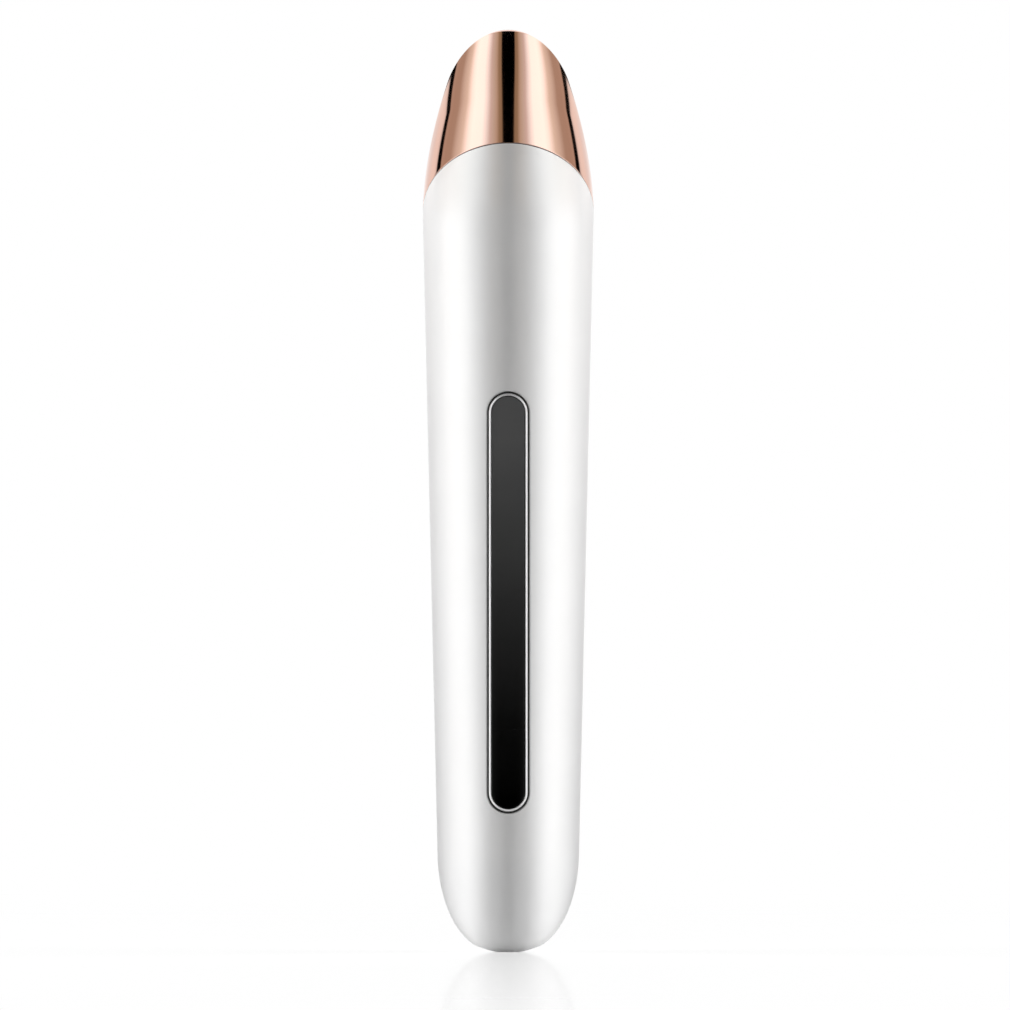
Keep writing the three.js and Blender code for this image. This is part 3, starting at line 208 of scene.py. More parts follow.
# Points on columns round the axis: x = r sin(angle), y = -r cos(angle)
def columns(radius, height):
    x = radius * np.sin(theta)
    y = -radius * np.cos(theta)
    return np.stack([x, y, height + 0 * x], axis=-1)


# Points on the skin, moved in towards the axis by an inset
def onSkin(height, inset=0.0):
    return columns(skinRadius(height) - inset, height)


# Where each column meets an oblique plane, z = axis height + r cos(angle) tan(tilt)
def skinCut(axisHeight, tilt, inset=0.0, highest=160.0, rounds=50):
    low, high = 0 * theta, highest + 0 * theta
    for _ in range(rounds):
        middle = (low + high) / 2
        reach = (skinRadius(middle) - inset) * np.cos(theta) * math.tan(tilt)
        below = middle - axisHeight < reach
        low, high = np.where(below, middle, low), np.where(below, high, middle)
    return low


# Columns of a straight bore, cut by the same kind of plane
def boreCut(radius, axisHeight, tilt):
    return columns(radius, axisHeight + radius * np.cos(theta) * math.tan(tilt))


# Rows between two rings of points, at shares from nearly 0 to nearly 1
def between(first, last, steps):
    t = (np.arange(1, steps) / steps)[:, None, None]
    return (1 - t) * first + t * last


# A rounded edge: the quadratic curve from one ring, pulled to the edge, to another ring
def roundedEdge(first, edge, last, steps=5):
    t = np.linspace(0, 1, steps + 1)[:, None, None]
    return (1 - t) ** 2 * first + 2 * t * (1 - t) * edge + t ** 2 * last


def asRow(ring):
    return np.asarray(ring)[None]


# Control strip, in its own leaning frame: u across, v along, w out of the wand
strip = {
    "footMargin": 5.5,
    "headMargin": 25.4,
    "width": 6.3,
    "frameLip": 0.63,
    "frameSink": 0.25,
    "lipDepth": 0.6,
    "clearance": 0.05,
    "skirtStep": 0.15,
    "skirtWall": 0.25,
    "endSteps": 17,  # points on a quarter of each rounded end
    "sideSteps": 70,
}
stripFoot = footHeight + strip["footMargin"]
stripTop = shoulderHeight - strip["headMargin"]
stripLevel = (stripFoot + stripTop) / 2
stripLength = (stripTop - stripFoot) * math.hypot(1, taper)
stripLean = math.atan(taper)
stripHalf = strip["width"] / 2
spineHalf = (stripLength - strip["width"]) / 2
stripFace = -float(skinRadius(stripLevel))
lipBack = -strip["frameSink"] - strip["lipDepth"]
lipInner = stripHalf - strip["frameLip"]


# A stadium ring as [u, v], from the lowest point round to the right
def stadiumRing(radius, half=spineHalf, endSteps=strip["endSteps"],
                sideSteps=strip["sideSteps"]):
    quarter = np.arange(endSteps) / endSteps * math.pi / 2
    side = np.arange(sideSteps) / sideSteps * 2 * half - half
    u = np.concatenate([radius * np.sin(quarter), np.full(sideSteps, radius),
                        radius * np.cos(quarter)])
    v = np.concatenate([-half - radius * np.cos(quarter), side,
                        half + radius * np.sin(quarter)])
    return np.stack([np.concatenate([u, -u]), np.concatenate([v, -v])], axis=-1)


# From the strip's frame to the wand's: a turn about X by a right angle and the lean
def fromStrip(ring, w):
    u, v = ring[..., 0], ring[..., 1]
    y = stripFace - v * math.sin(stripLean) - w * math.cos(stripLean)
    z = stripLevel + v * math.cos(stripLean) - w * math.sin(stripLean)
    return np.stack([u, y, z], axis=-1)


# The height w at which a ring's points lie on a round surface, found in a few rounds
def heightOn(radiusAt, ring, rounds=6):
    w = np.zeros(len(ring))
    for _ in range(rounds):
        y = -np.sqrt(radiusAt(fromStrip(ring, w)[:, 2]) ** 2 - ring[:, 0] ** 2)
        w = (stripFace - ring[:, 1] * math.sin(stripLean) - y) / math.cos(stripLean)
    return w


# Closes a stadium ring with quads across its width and a triangle at each end
def capStadium(body, ring, turn=1):
    half = len(ring) // 2
    right = ring[: half + 1]
    left = np.concatenate([ring[:1], ring[:half - 1:-1]])
    corners = np.array([[right[0], right[1], left[1]], [right[-2], right[-1], left[-2]]])
    quads = np.stack([right[1:-2], right[2:-1], left[2:-1], left[1:-2]], axis=-1)
    body["corners"].append(corners[:, ::turn])
    body["quads"].append(quads[:, ::turn])


# A closed body from rings of points, the last ring joined to the first
def loopBody(rows):
    body = newBody()
    addGrid(body, addPoints(body, rows), closeRows=True)
    return body


# A body from rings of points, closed at each end by a fan to a middle point
def cappedBody(rows, ends, place=None):
    if place:
        rows, ends = place(rows), place(ends)
    body = newBody()
    index = addPoints(body, rows)
    addGrid(body, index)
    addFan(body, index[0][::-1], ends[0])
    addFan(body, index[-1], ends[1])
    return body


# A body swept round a stadium from [radius, w] pairs, closed on itself or capped. The
# stadium is the strip's, or has a half length and steps of its own.
def stadiumBody(section, place, isLoop, *shape):
    rows = np.stack([place(stadiumRing(r, *shape), w) for r, w in section])
    if isLoop:
        return loopBody(rows)
    body = newBody()
    index = addPoints(body, rows)
    addGrid(body, index)
    capStadium(body, index[0], -1)
    capStadium(body, index[-1])
    return body


# Round rings about an upright axis through x, y
def roundRings(radius, height, sides, x=0, y=0):
    angle = np.arange(sides) / sides * 2 * math.pi
    return np.stack([x + radius * np.cos(angle), y + radius * np.sin(angle),
                     height + 0 * angle], axis=-1)


# A turned body about such an axis, from [radius, z] pairs
def turnedBody(section, x=0, y=0, sides=32, place=None):
    radius, height = (np.array(column, float)[:, None] for column in zip(*section))
    rows = roundRings(radius, height, sides, x, y)
    ends = np.array([[x, y, section[0][1]], [x, y, section[-1][1]]], float)
    return cappedBody(rows, ends, place)


# A block with slanted edges from its lowest to its highest corner: 8-sided rings up z
def blockBody(low, high, edge):
    (x0, y0, z0), (x1, y1, z1) = low, high

    def ring(z, inset):
        a, b, c, d, k = x0 + inset, x1 - inset, y0 + inset, y1 - inset, edge
        return [[a + k, c, z], [b - k, c, z], [b, c + k, z], [b, d - k, z],
                [b - k, d, z], [a + k, d, z], [a, d - k, z], [a, c + k, z]]

    rows = [ring(z0, edge), ring(z0 + edge, 0), ring(z1 - edge, 0), ring(z1, edge)]
    middle = ((x0 + x1) / 2, (y0 + y1) / 2)
    return cappedBody(np.array(rows), np.array([[*middle, z0], [*middle, z1]]))


# A finish: linear colour, roughness from smooth to dull, the mottling's pitch and how much
# it darkens, the grain's pitch and height, and what is special. Lengths are millimetres.
def finish(colour, rough, mottle, tint, grain, relief, **special):
    return {"colour": colour, "rough": rough, "mottle": mottle, "tint": tint, "grain": grain,
            "relief": relief, "metallic": 0, "specular": 0.5, "edgeTint": 1, "coat": 0,
            "transmission": 0, "stretch": (1, 1, 1), **special}


finishes = {
    "white_lacquer": finish((0.9, 0.9, 0.9), (0.28, 0.32), 9, 0.015, 1.4, 0.0006,
                            metallic=0.3, edgeTint=0.05, specular=0.25),
    "rose_gold": finish((0.88, 0.63, 0.55), (0.05, 0.08), 14, 0.04, 2.5, 0.001, metallic=1),
    "rose_gold_face": finish((0.88, 0.6, 0.5), (0.1, 0.2), 8, 0.06, 3, 0.001, metallic=1,
                             stretch=(10, 1, 1)),
    "dark_rubber": finish((0.018, 0.015, 0.014), (0.55, 0.75), 2, 0.3, 0.25, 0.01),
    # rubber of the seam gasket; its tone is also painted shade for the dark line of the joint
    "seam_rubber_and_shade": finish((0.13, 0.1, 0.085), (0.5, 0.65), 2, 0.2, 0.25, 0.005),
    "bright_chrome": finish((0.92, 0.92, 0.93), (0.2, 0.24), 5, 0.03, 1.5, 0.001,
                            metallic=0.35),
    # the bezel's shoulder band: painted shade, the dark outline that the gap round the bezel
    # shows
    "bezel_painted_shade": finish((0.006, 0.006, 0.006), (0.4, 0.55), 2, 0.3, 0.3, 0.002),
    # smoked window; its colour carries a painted reflection that lightens it towards the head
    "smoked_gloss": finish((0.155, 0.155, 0.155), (0.06, 0.1), 12, 0.05, 3, 0.001,
                           specular=0.2, fade=(18.0, 84.0)),
    "black_plastic": finish((0.012, 0.012, 0.013), (0.4, 0.55), 3, 0.25, 0.2, 0.006),
    "gold_contact": finish((0.8, 0.56, 0.24), (0.2, 0.32), 1, 0.1, 0.2, 0.002, metallic=1),
    "clear_plastic": finish((0.85, 0.88, 0.9), (0.25, 0.4), 4, 0.05, 0.4, 0.004,
                            transmission=0.6),
    "grey_plastic": finish((0.5, 0.51, 0.52), (0.42, 0.55), 5, 0.06, 0.3, 0.008),
    "amber_film": finish((0.45, 0.16, 0.02), (0.2, 0.32), 2, 0.25, 0.8, 0.006),
    "grey_foam": finish((0.09, 0.09, 0.095), (0.8, 0.95), 1.2, 0.3, 0.35, 0.05),
    "board_green": finish((0.012, 0.16, 0.06), (0.25, 0.38), 2.5, 0.3, 0.5, 0.01),
    "led_body": finish((0.82, 0.8, 0.68), (0.3, 0.45), 0.8, 0.12, 0.3, 0.004),
    "ferrite": finish((0.07, 0.07, 0.072), (0.6, 0.75), 0.8, 0.25, 0.15, 0.015),
    "capacitor_tan": finish((0.36, 0.2, 0.07), (0.35, 0.5), 0.7, 0.15, 0.2, 0.005),
    "steel": finish((0.45, 0.46, 0.47), (0.22, 0.38), 1.5, 0.1, 0.3, 0.004, metallic=1,
                    stretch=(1, 1, 0.15)),
    "nickel": finish((0.6, 0.57, 0.52), (0.22, 0.34), 2, 0.08, 0.25, 0.003, metallic=1,
                     stretch=(1, 1, 0.2)),
    "bronze": finish((0.4, 0.2, 0.07), (0.4, 0.55), 0.6, 0.2, 0.12, 0.01, metallic=1),
    "heavy_alloy": finish((0.16, 0.16, 0.17), (0.35, 0.5), 0.8, 0.15, 0.15, 0.008, metallic=1),
    "cell_wrap": finish((0.03, 0.16, 0.44), (0.2, 0.3), 5, 0.1, 2.2, 0.02, coat=0.4),
    "wire_red": finish((0.5, 0.02, 0.012), (0.35, 0.5), 3, 0.12, 0.5, 0.006),
    "wire_black": finish((0.01, 0.01, 0.011), (0.35, 0.5), 3, 0.25, 0.5, 0.006),
}
mottling = {
    "between": (0.3, 0.7),  # of the noise, spread over the whole of a finish's range
    "wearPitch": 0.4,  # pitch of the uneven roughness, to that of the mottling
    "detail": (3, 2),  # of the mottling, and of the roughness and the grain
}


# Fills a node's inputs with values, with chosen outputs, or with nodes, whose first output
# is then taken
def fillNode(tree, node, inputs):
    for key, value in inputs.items():
        if isinstance(value, bpy.types.Node):
            value = value.outputs[0]
        if isinstance(value, bpy.types.NodeSocket):
            tree.links.new(value, node.inputs[key])
        else:
            node.inputs[key].default_value = value
    return node


# Two functions for a tree: one adds a node of a kind, the other a step of arithmetic
def nodeTools(tree):
    def make(kind, inputs=None, **settings):
        node = tree.nodes.new("ShaderNode" + kind)
        for name, value in settings.items():
            setattr(node, name, value)
        return fillNode(tree, node, inputs or {})

    def calc(operation, *values):
        return make("Math", dict(enumerate(values)), operation=operation)

    return make, calc


# Noise of a pitch given in millimetres, on the object's own coordinates
def addNoise(make, place, pitch, detail):
    scale = 1 / (pitch * millimetre)
    return make("TexNoise", {"Scale": scale, "Detail": detail, "Vector": place})


# A colour ramp from [position, colour] pairs in order
def addRamp(make, share, stops):
    ramp = make("ValToRGB", {"Fac": share})
    elements = ramp.color_ramp.elements
    ordered = [stops[0], stops[-1], *stops[1:-1]]  # a new ramp has its two ends
    for k, (position, colour) in enumerate(ordered):
        stop = elements[k] if k < 2 else elements.new(position)
        stop.position = position
        stop.color = (*colour, 1)
    return ramp


def addMapRange(make, value, source, target):
    ends = zip(("From Min", "From Max", "To Min", "To Max"), (*source, *target))
    return make("MapRange", {"Value": value, **dict(ends)})


madeLooks = {}


# A finish as a material: mottled colour, uneven roughness and a fine grain
def look(name):
    if name in madeLooks:
        return madeLooks[name]
    f = finishes[name]
    material = bpy.data.materials.new(name)
    material.use_nodes = True
    tree = material.node_tree
    make, _ = nodeTools(tree)
    detail, fineDetail = mottling["detail"]
    coordinates = make("TexCoord").outputs["Object"]
    place = make("Mapping", {"Vector": coordinates, "Scale": f["stretch"]})
    pale = np.array(f["colour"])
    low, high = mottling["between"]
    stops = [(low, pale * (1 - f["tint"])), (high, pale)]
    colour = addRamp(make, addNoise(make, place, f["mottle"], detail), stops)
    # painted reflection: the colour lightens with height
    if "fade" in f:
        colour = fadeWithHeight(make, coordinates, colour, f["fade"])
    wear = addNoise(make, place, f["mottle"] * mottling["wearPitch"], fineDetail)
    grain = addNoise(make, place, f["grain"], fineDetail)
    fillNode(tree, tree.nodes["Principled BSDF"], {
        "Base Color": colour,
        "Roughness": addMapRange(make, wear, mottling["between"], f["rough"]),
        "Normal": make("Bump", {"Distance": f["relief"] * millimetre, "Height": grain}),
        "Metallic": f["metallic"],
        "Specular IOR Level": f["specular"],
        "Specular Tint": (f["edgeTint"],) * 3 + (1,),
        "Coat Weight": f["coat"],
        "Transmission Weight": f["transmission"],
    })
    madeLooks[name] = material
    return material


# Painted reflection: how the smoked window's colour lightens from its foot to its head
windowPaintedReflection = [(share, (tone,) * 3) for share, tone in (
    (0, 0), (0.067, 0.004), (0.156, 0.024), (0.245, 0.04), (0.335, 0.093), (0.424, 0.154),
    (0.514, 0.246), (0.603, 0.378), (0.692, 0.49), (0.782, 0.621), (0.871, 0.769), (1, 0.78))]


# Multiplies a colour by the window's painted reflection at each height of a span
def fadeWithHeight(make, coordinates, colour, span):
    height = make("SeparateXYZ", {"Vector": coordinates}).outputs["Z"]
    share = addMapRange(make, height, [level * millimetre for level in span], (0, 1))
    inputs = {"Factor": 1, 6: colour, 7: addRamp(make, share, windowPaintedReflection)}  # 6 and 7: colours
    return make("Mix", inputs, data_type="RGBA", blend_type="MULTIPLY").outputs[2]


# Grip: one closed skin that runs up the outside, over the oblique rim, down the bore and
# out through the socket hole, with a patch round the strip's slot
gripSizes = {
    "footWall": 1.6,
    "wallAtFoot": 1.6,
    "mouthRadius": 10.15,
    "mouthDepth": 17,
    "groove": (92.75, 94.15),  # levels of the groove that holds the head's bead
    "grooveRadius": 10.45,
    "socketWide": 9.3,
    "socketHigh": 3.62,
    "edge": 0.2,  # radius of the rim's edges
    "closing": 0.13,  # rim and head come this much nearer, so the seam reads as a fine line
    "lip": 0.05,  # radius of the slot's edge
    "portLip": 0.35,  # softer edge of the socket hole
    "portRing": (7, 6.5),  # radius where the hole's rows end, on the foot and inside it
    "patch": (17.0, 88.0),  # levels
    "straight": (96, 89.5),  # where the level rows end, on the skin and in the bore
    "footRows": (29, 14),  # on the foot and inside it
    "portRows": (10, 8),
    "levelRows": (5, 9),  # below the patch and above it
    "seamRows": 24,
    "mouthRows": 6,
    "slotRows": (12, 6),  # from the slot to the patch's border, on the skin and in the bore
}
seamHalf = wand["gasket"] / 2 / math.cos(wand["seamTilt"]) - gripSizes["closing"]


# Bore radius at a height: an even taper from the foot up to the straight mouth
def boreRadius(height):
    mouthFoot = shoulderHeight - gripSizes["mouthDepth"]
    low = footRadius - gripSizes["wallAtFoot"]
    share = (np.asarray(height, float) - footHeight) / (mouthFoot - footHeight)
    return low + (gripSizes["mouthRadius"] - low) * np.clip(share, 0, 1)


# The socket hole's outline, met by the ray of each column: flat sides, then round ends
def portOutline(grow=0.0, least=1e-9):
    high = gripSizes["socketHigh"] / 2 + grow
    centre = (gripSizes["socketWide"] - gripSizes["socketHigh"]) / 2
    sine, cosine = np.abs(np.sin(theta)), np.maximum(np.abs(np.cos(theta)), least)
    flat = high / cosine
    root = np.sqrt(np.maximum((sine ** 2 - 1) * centre ** 2 + high ** 2, 0))
    return np.where(flat * sine <= centre, flat, sine * centre + root)


# Radius and depth of the foot's round, outside and inside
outerFoot = (footRadius, footHeight + wand["footTrim"])
innerFoot = (footRadius - gripSizes["wallAtFoot"], footHeight - gripSizes["footWall"])


# Level of the foot at a radius: its height less depth times the root of 1 - (r / R) to
# the power fullness, and flat at the floor
def footLevel(radius, wide, deep):
    share = np.clip(radius / wide, 0, 1) ** wand["footFullness"]
    return np.maximum(footHeight - deep * np.sqrt(1 - share), 0)


# Rows up the foot from a radius to its widest, at even steps of angle
def footColumns(start, steps, wide, deep):
    first = math.asin((start / wide) ** (wand["footFullness"] / 2))
    angle = np.linspace(first, math.pi / 2, steps)[:, None]
    return columns(wide * np.sin(angle) ** (2 / wand["footFullness"]),
                   footHeight - deep * np.cos(angle))


# Rows over the foot between the hole's outline and a round ring
def footRows(outline, ringRadius, steps, foot):
    t = (np.arange(steps) / steps)[:, None]
    radius = (1 - t) * outline + t * ringRadius
    return columns(radius, footLevel(radius, *foot))


# The ring of a grid's point numbers round a rectangle, from its lowest middle to the right
def rectangleRing(index, low, high, half):
    across = np.arange(-half, half + 1)
    bottom, top = index[low, across], index[high, across]
    right, left = index[low:high, half], index[low + 1 : high + 1, -half][::-1]
    return np.concatenate([bottom[half:-1], right, top[::-1][:-1], left, bottom[:half]])


def makeGrip():
    g = gripSizes
    edge, tilt, rimLevel = g["edge"], wand["seamTilt"], seamHeight - seamHalf
    outRing, inRing = g["portRing"]
    straight, boreStraight = g["straight"]
    low, high = g["patch"]
    patchLevels = np.linspace(low, high, strip["sideSteps"] + 1)[:, None]
    lowLevels = np.linspace(footHeight, low, g["levelRows"][0])[:-1, None]
    highLevels = np.linspace(high, straight, g["levelRows"][1])[1:, None]
    cut = skinCut(rimLevel, tilt)
    share = (np.arange(1, g["seamRows"] + 1) / g["seamRows"])[:, None]
    seamPart = onSkin(straight + share * (cut - edge - straight))
    rimEdge = roundedEdge(onSkin(cut - edge), onSkin(cut),
                          boreCut(skinRadius(cut) - edge, rimLevel, tilt))
    mouth = boreCut(g["mouthRadius"] + edge, rimLevel, tilt)
    mouthEdge = boreCut(g["mouthRadius"], rimLevel, tilt)
    mouthEnd = mouthEdge - [0, 0, edge]
    grooveLow, grooveHigh = g["groove"]
    groove = [(g["mouthRadius"], grooveHigh), (g["grooveRadius"], grooveHigh),
              (g["grooveRadius"], grooveLow), (g["mouthRadius"], grooveLow),
              (g["mouthRadius"], shoulderHeight - g["mouthDepth"])]
    grooveRows = np.stack([columns(r, z) for r, z in groove])
    innerHigh, innerPatch, innerLow = (
        columns(boreRadius(levels[::-1]), levels[::-1])
        for levels in (np.array([[boreStraight]]), patchLevels, lowLevels))
    footPart = footColumns(outRing, g["footRows"][0], *outerFoot)[:-1]
    innerPart = footColumns(inRing, g["footRows"][1], *innerFoot)[:-1][::-1]
    hole = portOutline()
    innerHole = footRows(hole, inRing, g["portRows"][1], innerFoot)[::-1]
    outerHole = footRows(portOutline(g["portLip"]), outRing, g["portRows"][0], outerFoot)
    holeLevel = footLevel(hole, *outerFoot)
    lip = roundedEdge(columns(hole, holeLevel + g["portLip"]), columns(hole, holeLevel),
                      outerHole[0])
    parts = [footPart, onSkin(lowLevels), onSkin(patchLevels), onSkin(highLevels), seamPart,
             rimEdge[1:], asRow(mouth), roundedEdge(mouth, mouthEdge, mouthEnd)[1:],
             between(mouthEnd, grooveRows[0], g["mouthRows"]), grooveRows, innerHigh,
             innerPatch, innerLow, innerPart, innerHole, lip, outerHole[1:]]
    starts = np.cumsum([0] + [len(part) for part in parts])
    skinPatch, borePatch = starts[2], starts[11]
    body = newBody()
    index = addPoints(body, np.concatenate(parts))
    half = strip["endSteps"]
    keep = np.ones(index.shape, bool)
    for start in (skinPatch, borePatch):
        keep[start : start + strip["sideSteps"], np.arange(-half, half)] = False
    addGrid(body, index, closeRows=True, keep=keep)

    # The slot: rings that turn from a rectangle on the skin to the stadium, go down over
    # the rebate and open out on the bore
    outerRing = rectangleRing(index, skinPatch, starts[3] - 1, half)
    innerRing = rectangleRing(index[::-1], len(index) - starts[12],
                              len(index) - 1 - borePatch, half)
    points = np.concatenate(body["points"])
    rebate = stripHalf + strip["clearance"]
    slot = stripHalf - strip["skirtStep"] + strip["clearance"]
    level = lipBack - strip["clearance"]

    def onSurface(radiusAt, radius, sink=0.0):
        ring = stadiumRing(radius)
        return fromStrip(ring, heightOn(radiusAt, ring) - sink)

    def patch(first, last, radiusAt, steps):
        rows = between(first, last, steps)
        rows[..., 1] = -np.sqrt(radiusAt(rows[..., 2]) ** 2 - rows[..., 0] ** 2)
        return rows

    wide, narrow = onSurface(skinRadius, rebate + g["lip"]), onSurface(skinRadius, rebate)
    wall = onSurface(skinRadius, rebate, g["lip"])
    low = onSurface(boreRadius, slot)
    rows = np.concatenate([
        patch(points[outerRing], wide, skinRadius, g["slotRows"][0]),
        roundedEdge(wide, narrow, wall), asRow(fromStrip(stadiumRing(rebate), level)),
        asRow(fromStrip(stadiumRing(slot), level)), asRow(low),
        patch(low, points[innerRing], boreRadius, g["slotRows"][1])])
    rows = addPoints(body, rows)
    addGrid(body, np.concatenate([asRow(outerRing), rows, asRow(innerRing)]))
    return body


# The oblique face, in its own frame: x across, y down the slope, w out of the face
face = {
    "rimWidth": 1.2,
    "plateGap": 0.2,
    "plateProud": 0.3,
    "plateThickness": 1.2,
    "plateEdge": 0.5,
    "plateRim": 2.5,  # width of the first row inside the rounded edge
    "plateChamfer": 0.15,
    "seal": 0.35,
    "sealGap": 0.05,  # from the recess wall
    "ledge": 1.0,
    "ledgeWidth": 2.1,
    "contact": 0.05,
    "rimEdge": 0.3,  # softened outer edge of the rim
    "recessEdge": 0.1,
    "edgeSteps": 9,
    "studs": (1.5, 0.8),  # outer radius and the thread's
    "studSides": 24,
    "studSink": 0.05,  # how deep they stand in the plate
    "studChamfer": 0.2,
    "studPlaces": ((-2.9, 12.28), (2.9, 12.28), (0, -3.49)),
}
plateBack = face["plateProud"] - face["plateThickness"]
sealTop = plateBack - face["contact"]
ledgeTop = sealTop - face["seal"] - face["contact"]
ledgeBack = ledgeTop - face["ledge"]
windowInset = face["rimWidth"] + face["ledgeWidth"]
rimLevels = skinCut(faceHeight, wand["faceTilt"])
rimPoints = columns(skinRadius(rimLevels), rimLevels)[:, :2] / [1, math.cos(wand["faceTilt"])]


# From the face's frame to the wand's: a turn about X by the face's tilt
def fromFace(points):
    x, y, w = points[..., 0], points[..., 1], points[..., 2]
    tilt = wand["faceTilt"]
    return np.stack([x, y * math.cos(tilt) + w * math.sin(tilt),
                     faceHeight - y * math.sin(tilt) + w * math.cos(tilt)], axis=-1)


# The rim's oval moved in along its own normals, which follow from the slope through the
# four nearest points, at a height w
def ovalRing(inset, w):
    def turned(k):
        return np.roll(rimPoints, k, axis=0)

    along = 8 * (turned(-1) - turned(1)) - (turned(-2) - turned(2))
    along /= np.linalg.norm(along, axis=1, keepdims=True)
    moved = rimPoints + np.stack([-along[:, 1], along[:, 0]], axis=-1) * inset
    return fromFace(np.concatenate([moved, np.full((len(moved), 1), float(w))], axis=1))


# A body from [inset, w] pairs on the rim's oval, closed on itself or capped
def ovalBody(section, isLoop):
    rows = np.stack([ovalRing(inset, w) for inset, w in section])
    if isLoop:
        return loopBody(rows)
    return cappedBody(rows, rows[[0, -1]].mean(axis=1))


# Head: up the skin from the seam, over the rim into the recess, through the window, down
# the inside and the spigot's bore, and back up the spigot's outside to the seam
headSizes = {
    "wall": 1.4,
    "floor": 1.5,
    "spigotRadius": 10.03,
    "spigotWall": 1.2,
    "spigotFoot": 91.85,
    "chamfer": 0.4,
    "bead": (92.85, 93.15, 93.75, 94.05),
    "beadRadius": 10.33,
    "groove": (96.55, 97.55),
    "grooveRadius": 9.28,
    "edge": 0.05,
    "bossOffset": 7.1,
    "bossRadius": 1.4,
    "bossLength": 8,
    "bossEdge": 0.2,
    "bossLift": 0.01,  # above the spigot's lower end
    "bossSides": 24,
    "pilotRadius": 0.9,
    "pilotEnd": 1,  # below the post's top
    "webStart": 0.2,  # outside the pilot hole
    "webReach": 9.0,
    "webEdge": 0.1,
    "webLift": 0.05,
    "skinRows": 90,
    "insideRows": 12,
    "throatRows": 4,
    "edgeRows": (7, 3, 4),  # on the rim's outer edge, its inner edge and the seam's edge
}


def makeHead():
    h = headSizes
    tilt, lean, level = wand["seamTilt"], wand["faceTilt"], seamHeight + seamHalf
    seam = skinCut(level, tilt)
    edge, rimEdge, rim, small = h["edge"], face["rimEdge"], face["rimWidth"], face["recessEdge"]
    outRows, inRows, seamRows = h["edgeRows"]
    share = (np.arange(h["skinRows"] + 1) / h["skinRows"])[:, None]
    skinPart = onSkin(seam + edge + share * (rimLevels - rimEdge - seam - edge))
    rimPart = roundedEdge(onSkin(rimLevels - rimEdge), onSkin(rimLevels), ovalRing(rimEdge, 0),
                          outRows)
    recess = roundedEdge(ovalRing(rim - small, 0), ovalRing(rim, 0), ovalRing(rim, -small),
                         inRows)
    window = np.stack([ovalRing(rim, ledgeTop), ovalRing(windowInset, ledgeTop),
                       ovalRing(windowInset, ledgeBack)])
    top = skinCut(faceHeight + ledgeBack / math.cos(lean), lean, h["wall"])
    floorLevel = level + h["floor"] / math.cos(tilt)
    share = (np.arange(h["insideRows"] + 1) / h["insideRows"])[:, None]
    inside = onSkin(top + share * (skinCut(floorLevel, tilt, h["wall"]) - top), h["wall"])
    outer, low = h["spigotRadius"], h["spigotFoot"]
    bore = outer - h["spigotWall"]
    throat = boreCut(bore, floorLevel, tilt)
    spigot = [(bore, low), (outer - h["chamfer"], low), (outer, low + h["chamfer"])]
    spigot += zip((outer, h["beadRadius"], h["beadRadius"], outer), h["bead"])
    grooveLow, grooveHigh = h["groove"]
    spigot += [(outer, grooveLow), (h["grooveRadius"], grooveLow),
               (h["grooveRadius"], grooveHigh), (outer, grooveHigh)]
    spigotRows = np.stack([columns(r, z) for r, z in spigot])
    root = boreCut(outer, level, tilt)
    seamEdge = roundedEdge(boreCut(skinRadius(seam) - edge, level, tilt), onSkin(seam),
                           onSkin(seam + edge), seamRows)
    return loopBody(np.concatenate(
        [skinPart, rimPart[1:], recess, window, inside, asRow(throat),
         between(throat, spigotRows[0], h["throatRows"]), spigotRows, asRow(root),
         seamEdge[:-1]]))


# Screw posts inside the spigot, each with its pilot hole and a web to the spigot's wall
def headBosses(side):
    h = headSizes
    pilot, wide, edge = h["pilotRadius"], h["bossRadius"], h["bossEdge"]
    low, high = h["spigotFoot"] + h["bossLift"], h["spigotFoot"] + h["bossLength"]
    section = [(pilot, high - h["pilotEnd"]), (pilot, low), (wide, low), (wide, high - edge),
               (wide - edge, high)]
    web = sorted((side * (h["bossOffset"] + pilot + h["webStart"]), side * h["webReach"]))
    return [turnedBody(section, 0, side * h["bossOffset"], h["bossSides"]),
            blockBody((-wide, web[0], low + h["webLift"]),
                      (wide, web[1], high - h["webEdge"]), h["webEdge"])]


# Gasket in the seam: follows the skin a hair inside it, between the two oblique planes. Its
# brown-grey rubber tone is also painted shade, the dark line of the joint
seamLine = {
    "inset": 0.05,
    "rows": ((-1, 0.03), (-0.5, 0), (0.5, 0), (1, 0.03)),  # shares across, how much deeper
    "gap": 0.01,  # from grip and head
}


def makeSeamLine():
    tilt, inset, half = wand["seamTilt"], seamLine["inset"], seamHalf - seamLine["gap"]
    outer = [onSkin(skinCut(seamHeight + share * half, tilt, inset), inset + deeper)
             for share, deeper in seamLine["rows"]]
    inner = [boreCut(gripSizes["mouthRadius"], seamHeight + share * half, tilt)
             for share in (1, -1)]
    return loopBody(np.stack(outer + inner))


# [inset, drop] pairs of a quarter-round edge, from 1 (its inner end) to 0 or back: the
# radius less its share by the angle's cosine and sine
def quarterRound(radius, steps, start, end):
    angles = np.linspace(start * math.pi / 2, end * math.pi / 2, steps)
    return [(radius * (1 - math.cos(a)), radius * (1 - math.sin(a))) for a in angles]


# Plate: a flat oval with a quarter-round edge, and three studs behind it
def makePlate():
    inset, top = face["rimWidth"] + face["plateGap"], face["plateProud"]
    chamfer = face["plateChamfer"]
    rounded = quarterRound(face["plateEdge"], face["edgeSteps"], 1, 0)
    section = [(inset + face["plateRim"], top), *((inset + a, top - b) for a, b in rounded)]
    section += [(inset, plateBack + chamfer), (inset + chamfer, plateBack)]
    return ovalBody(section, False)


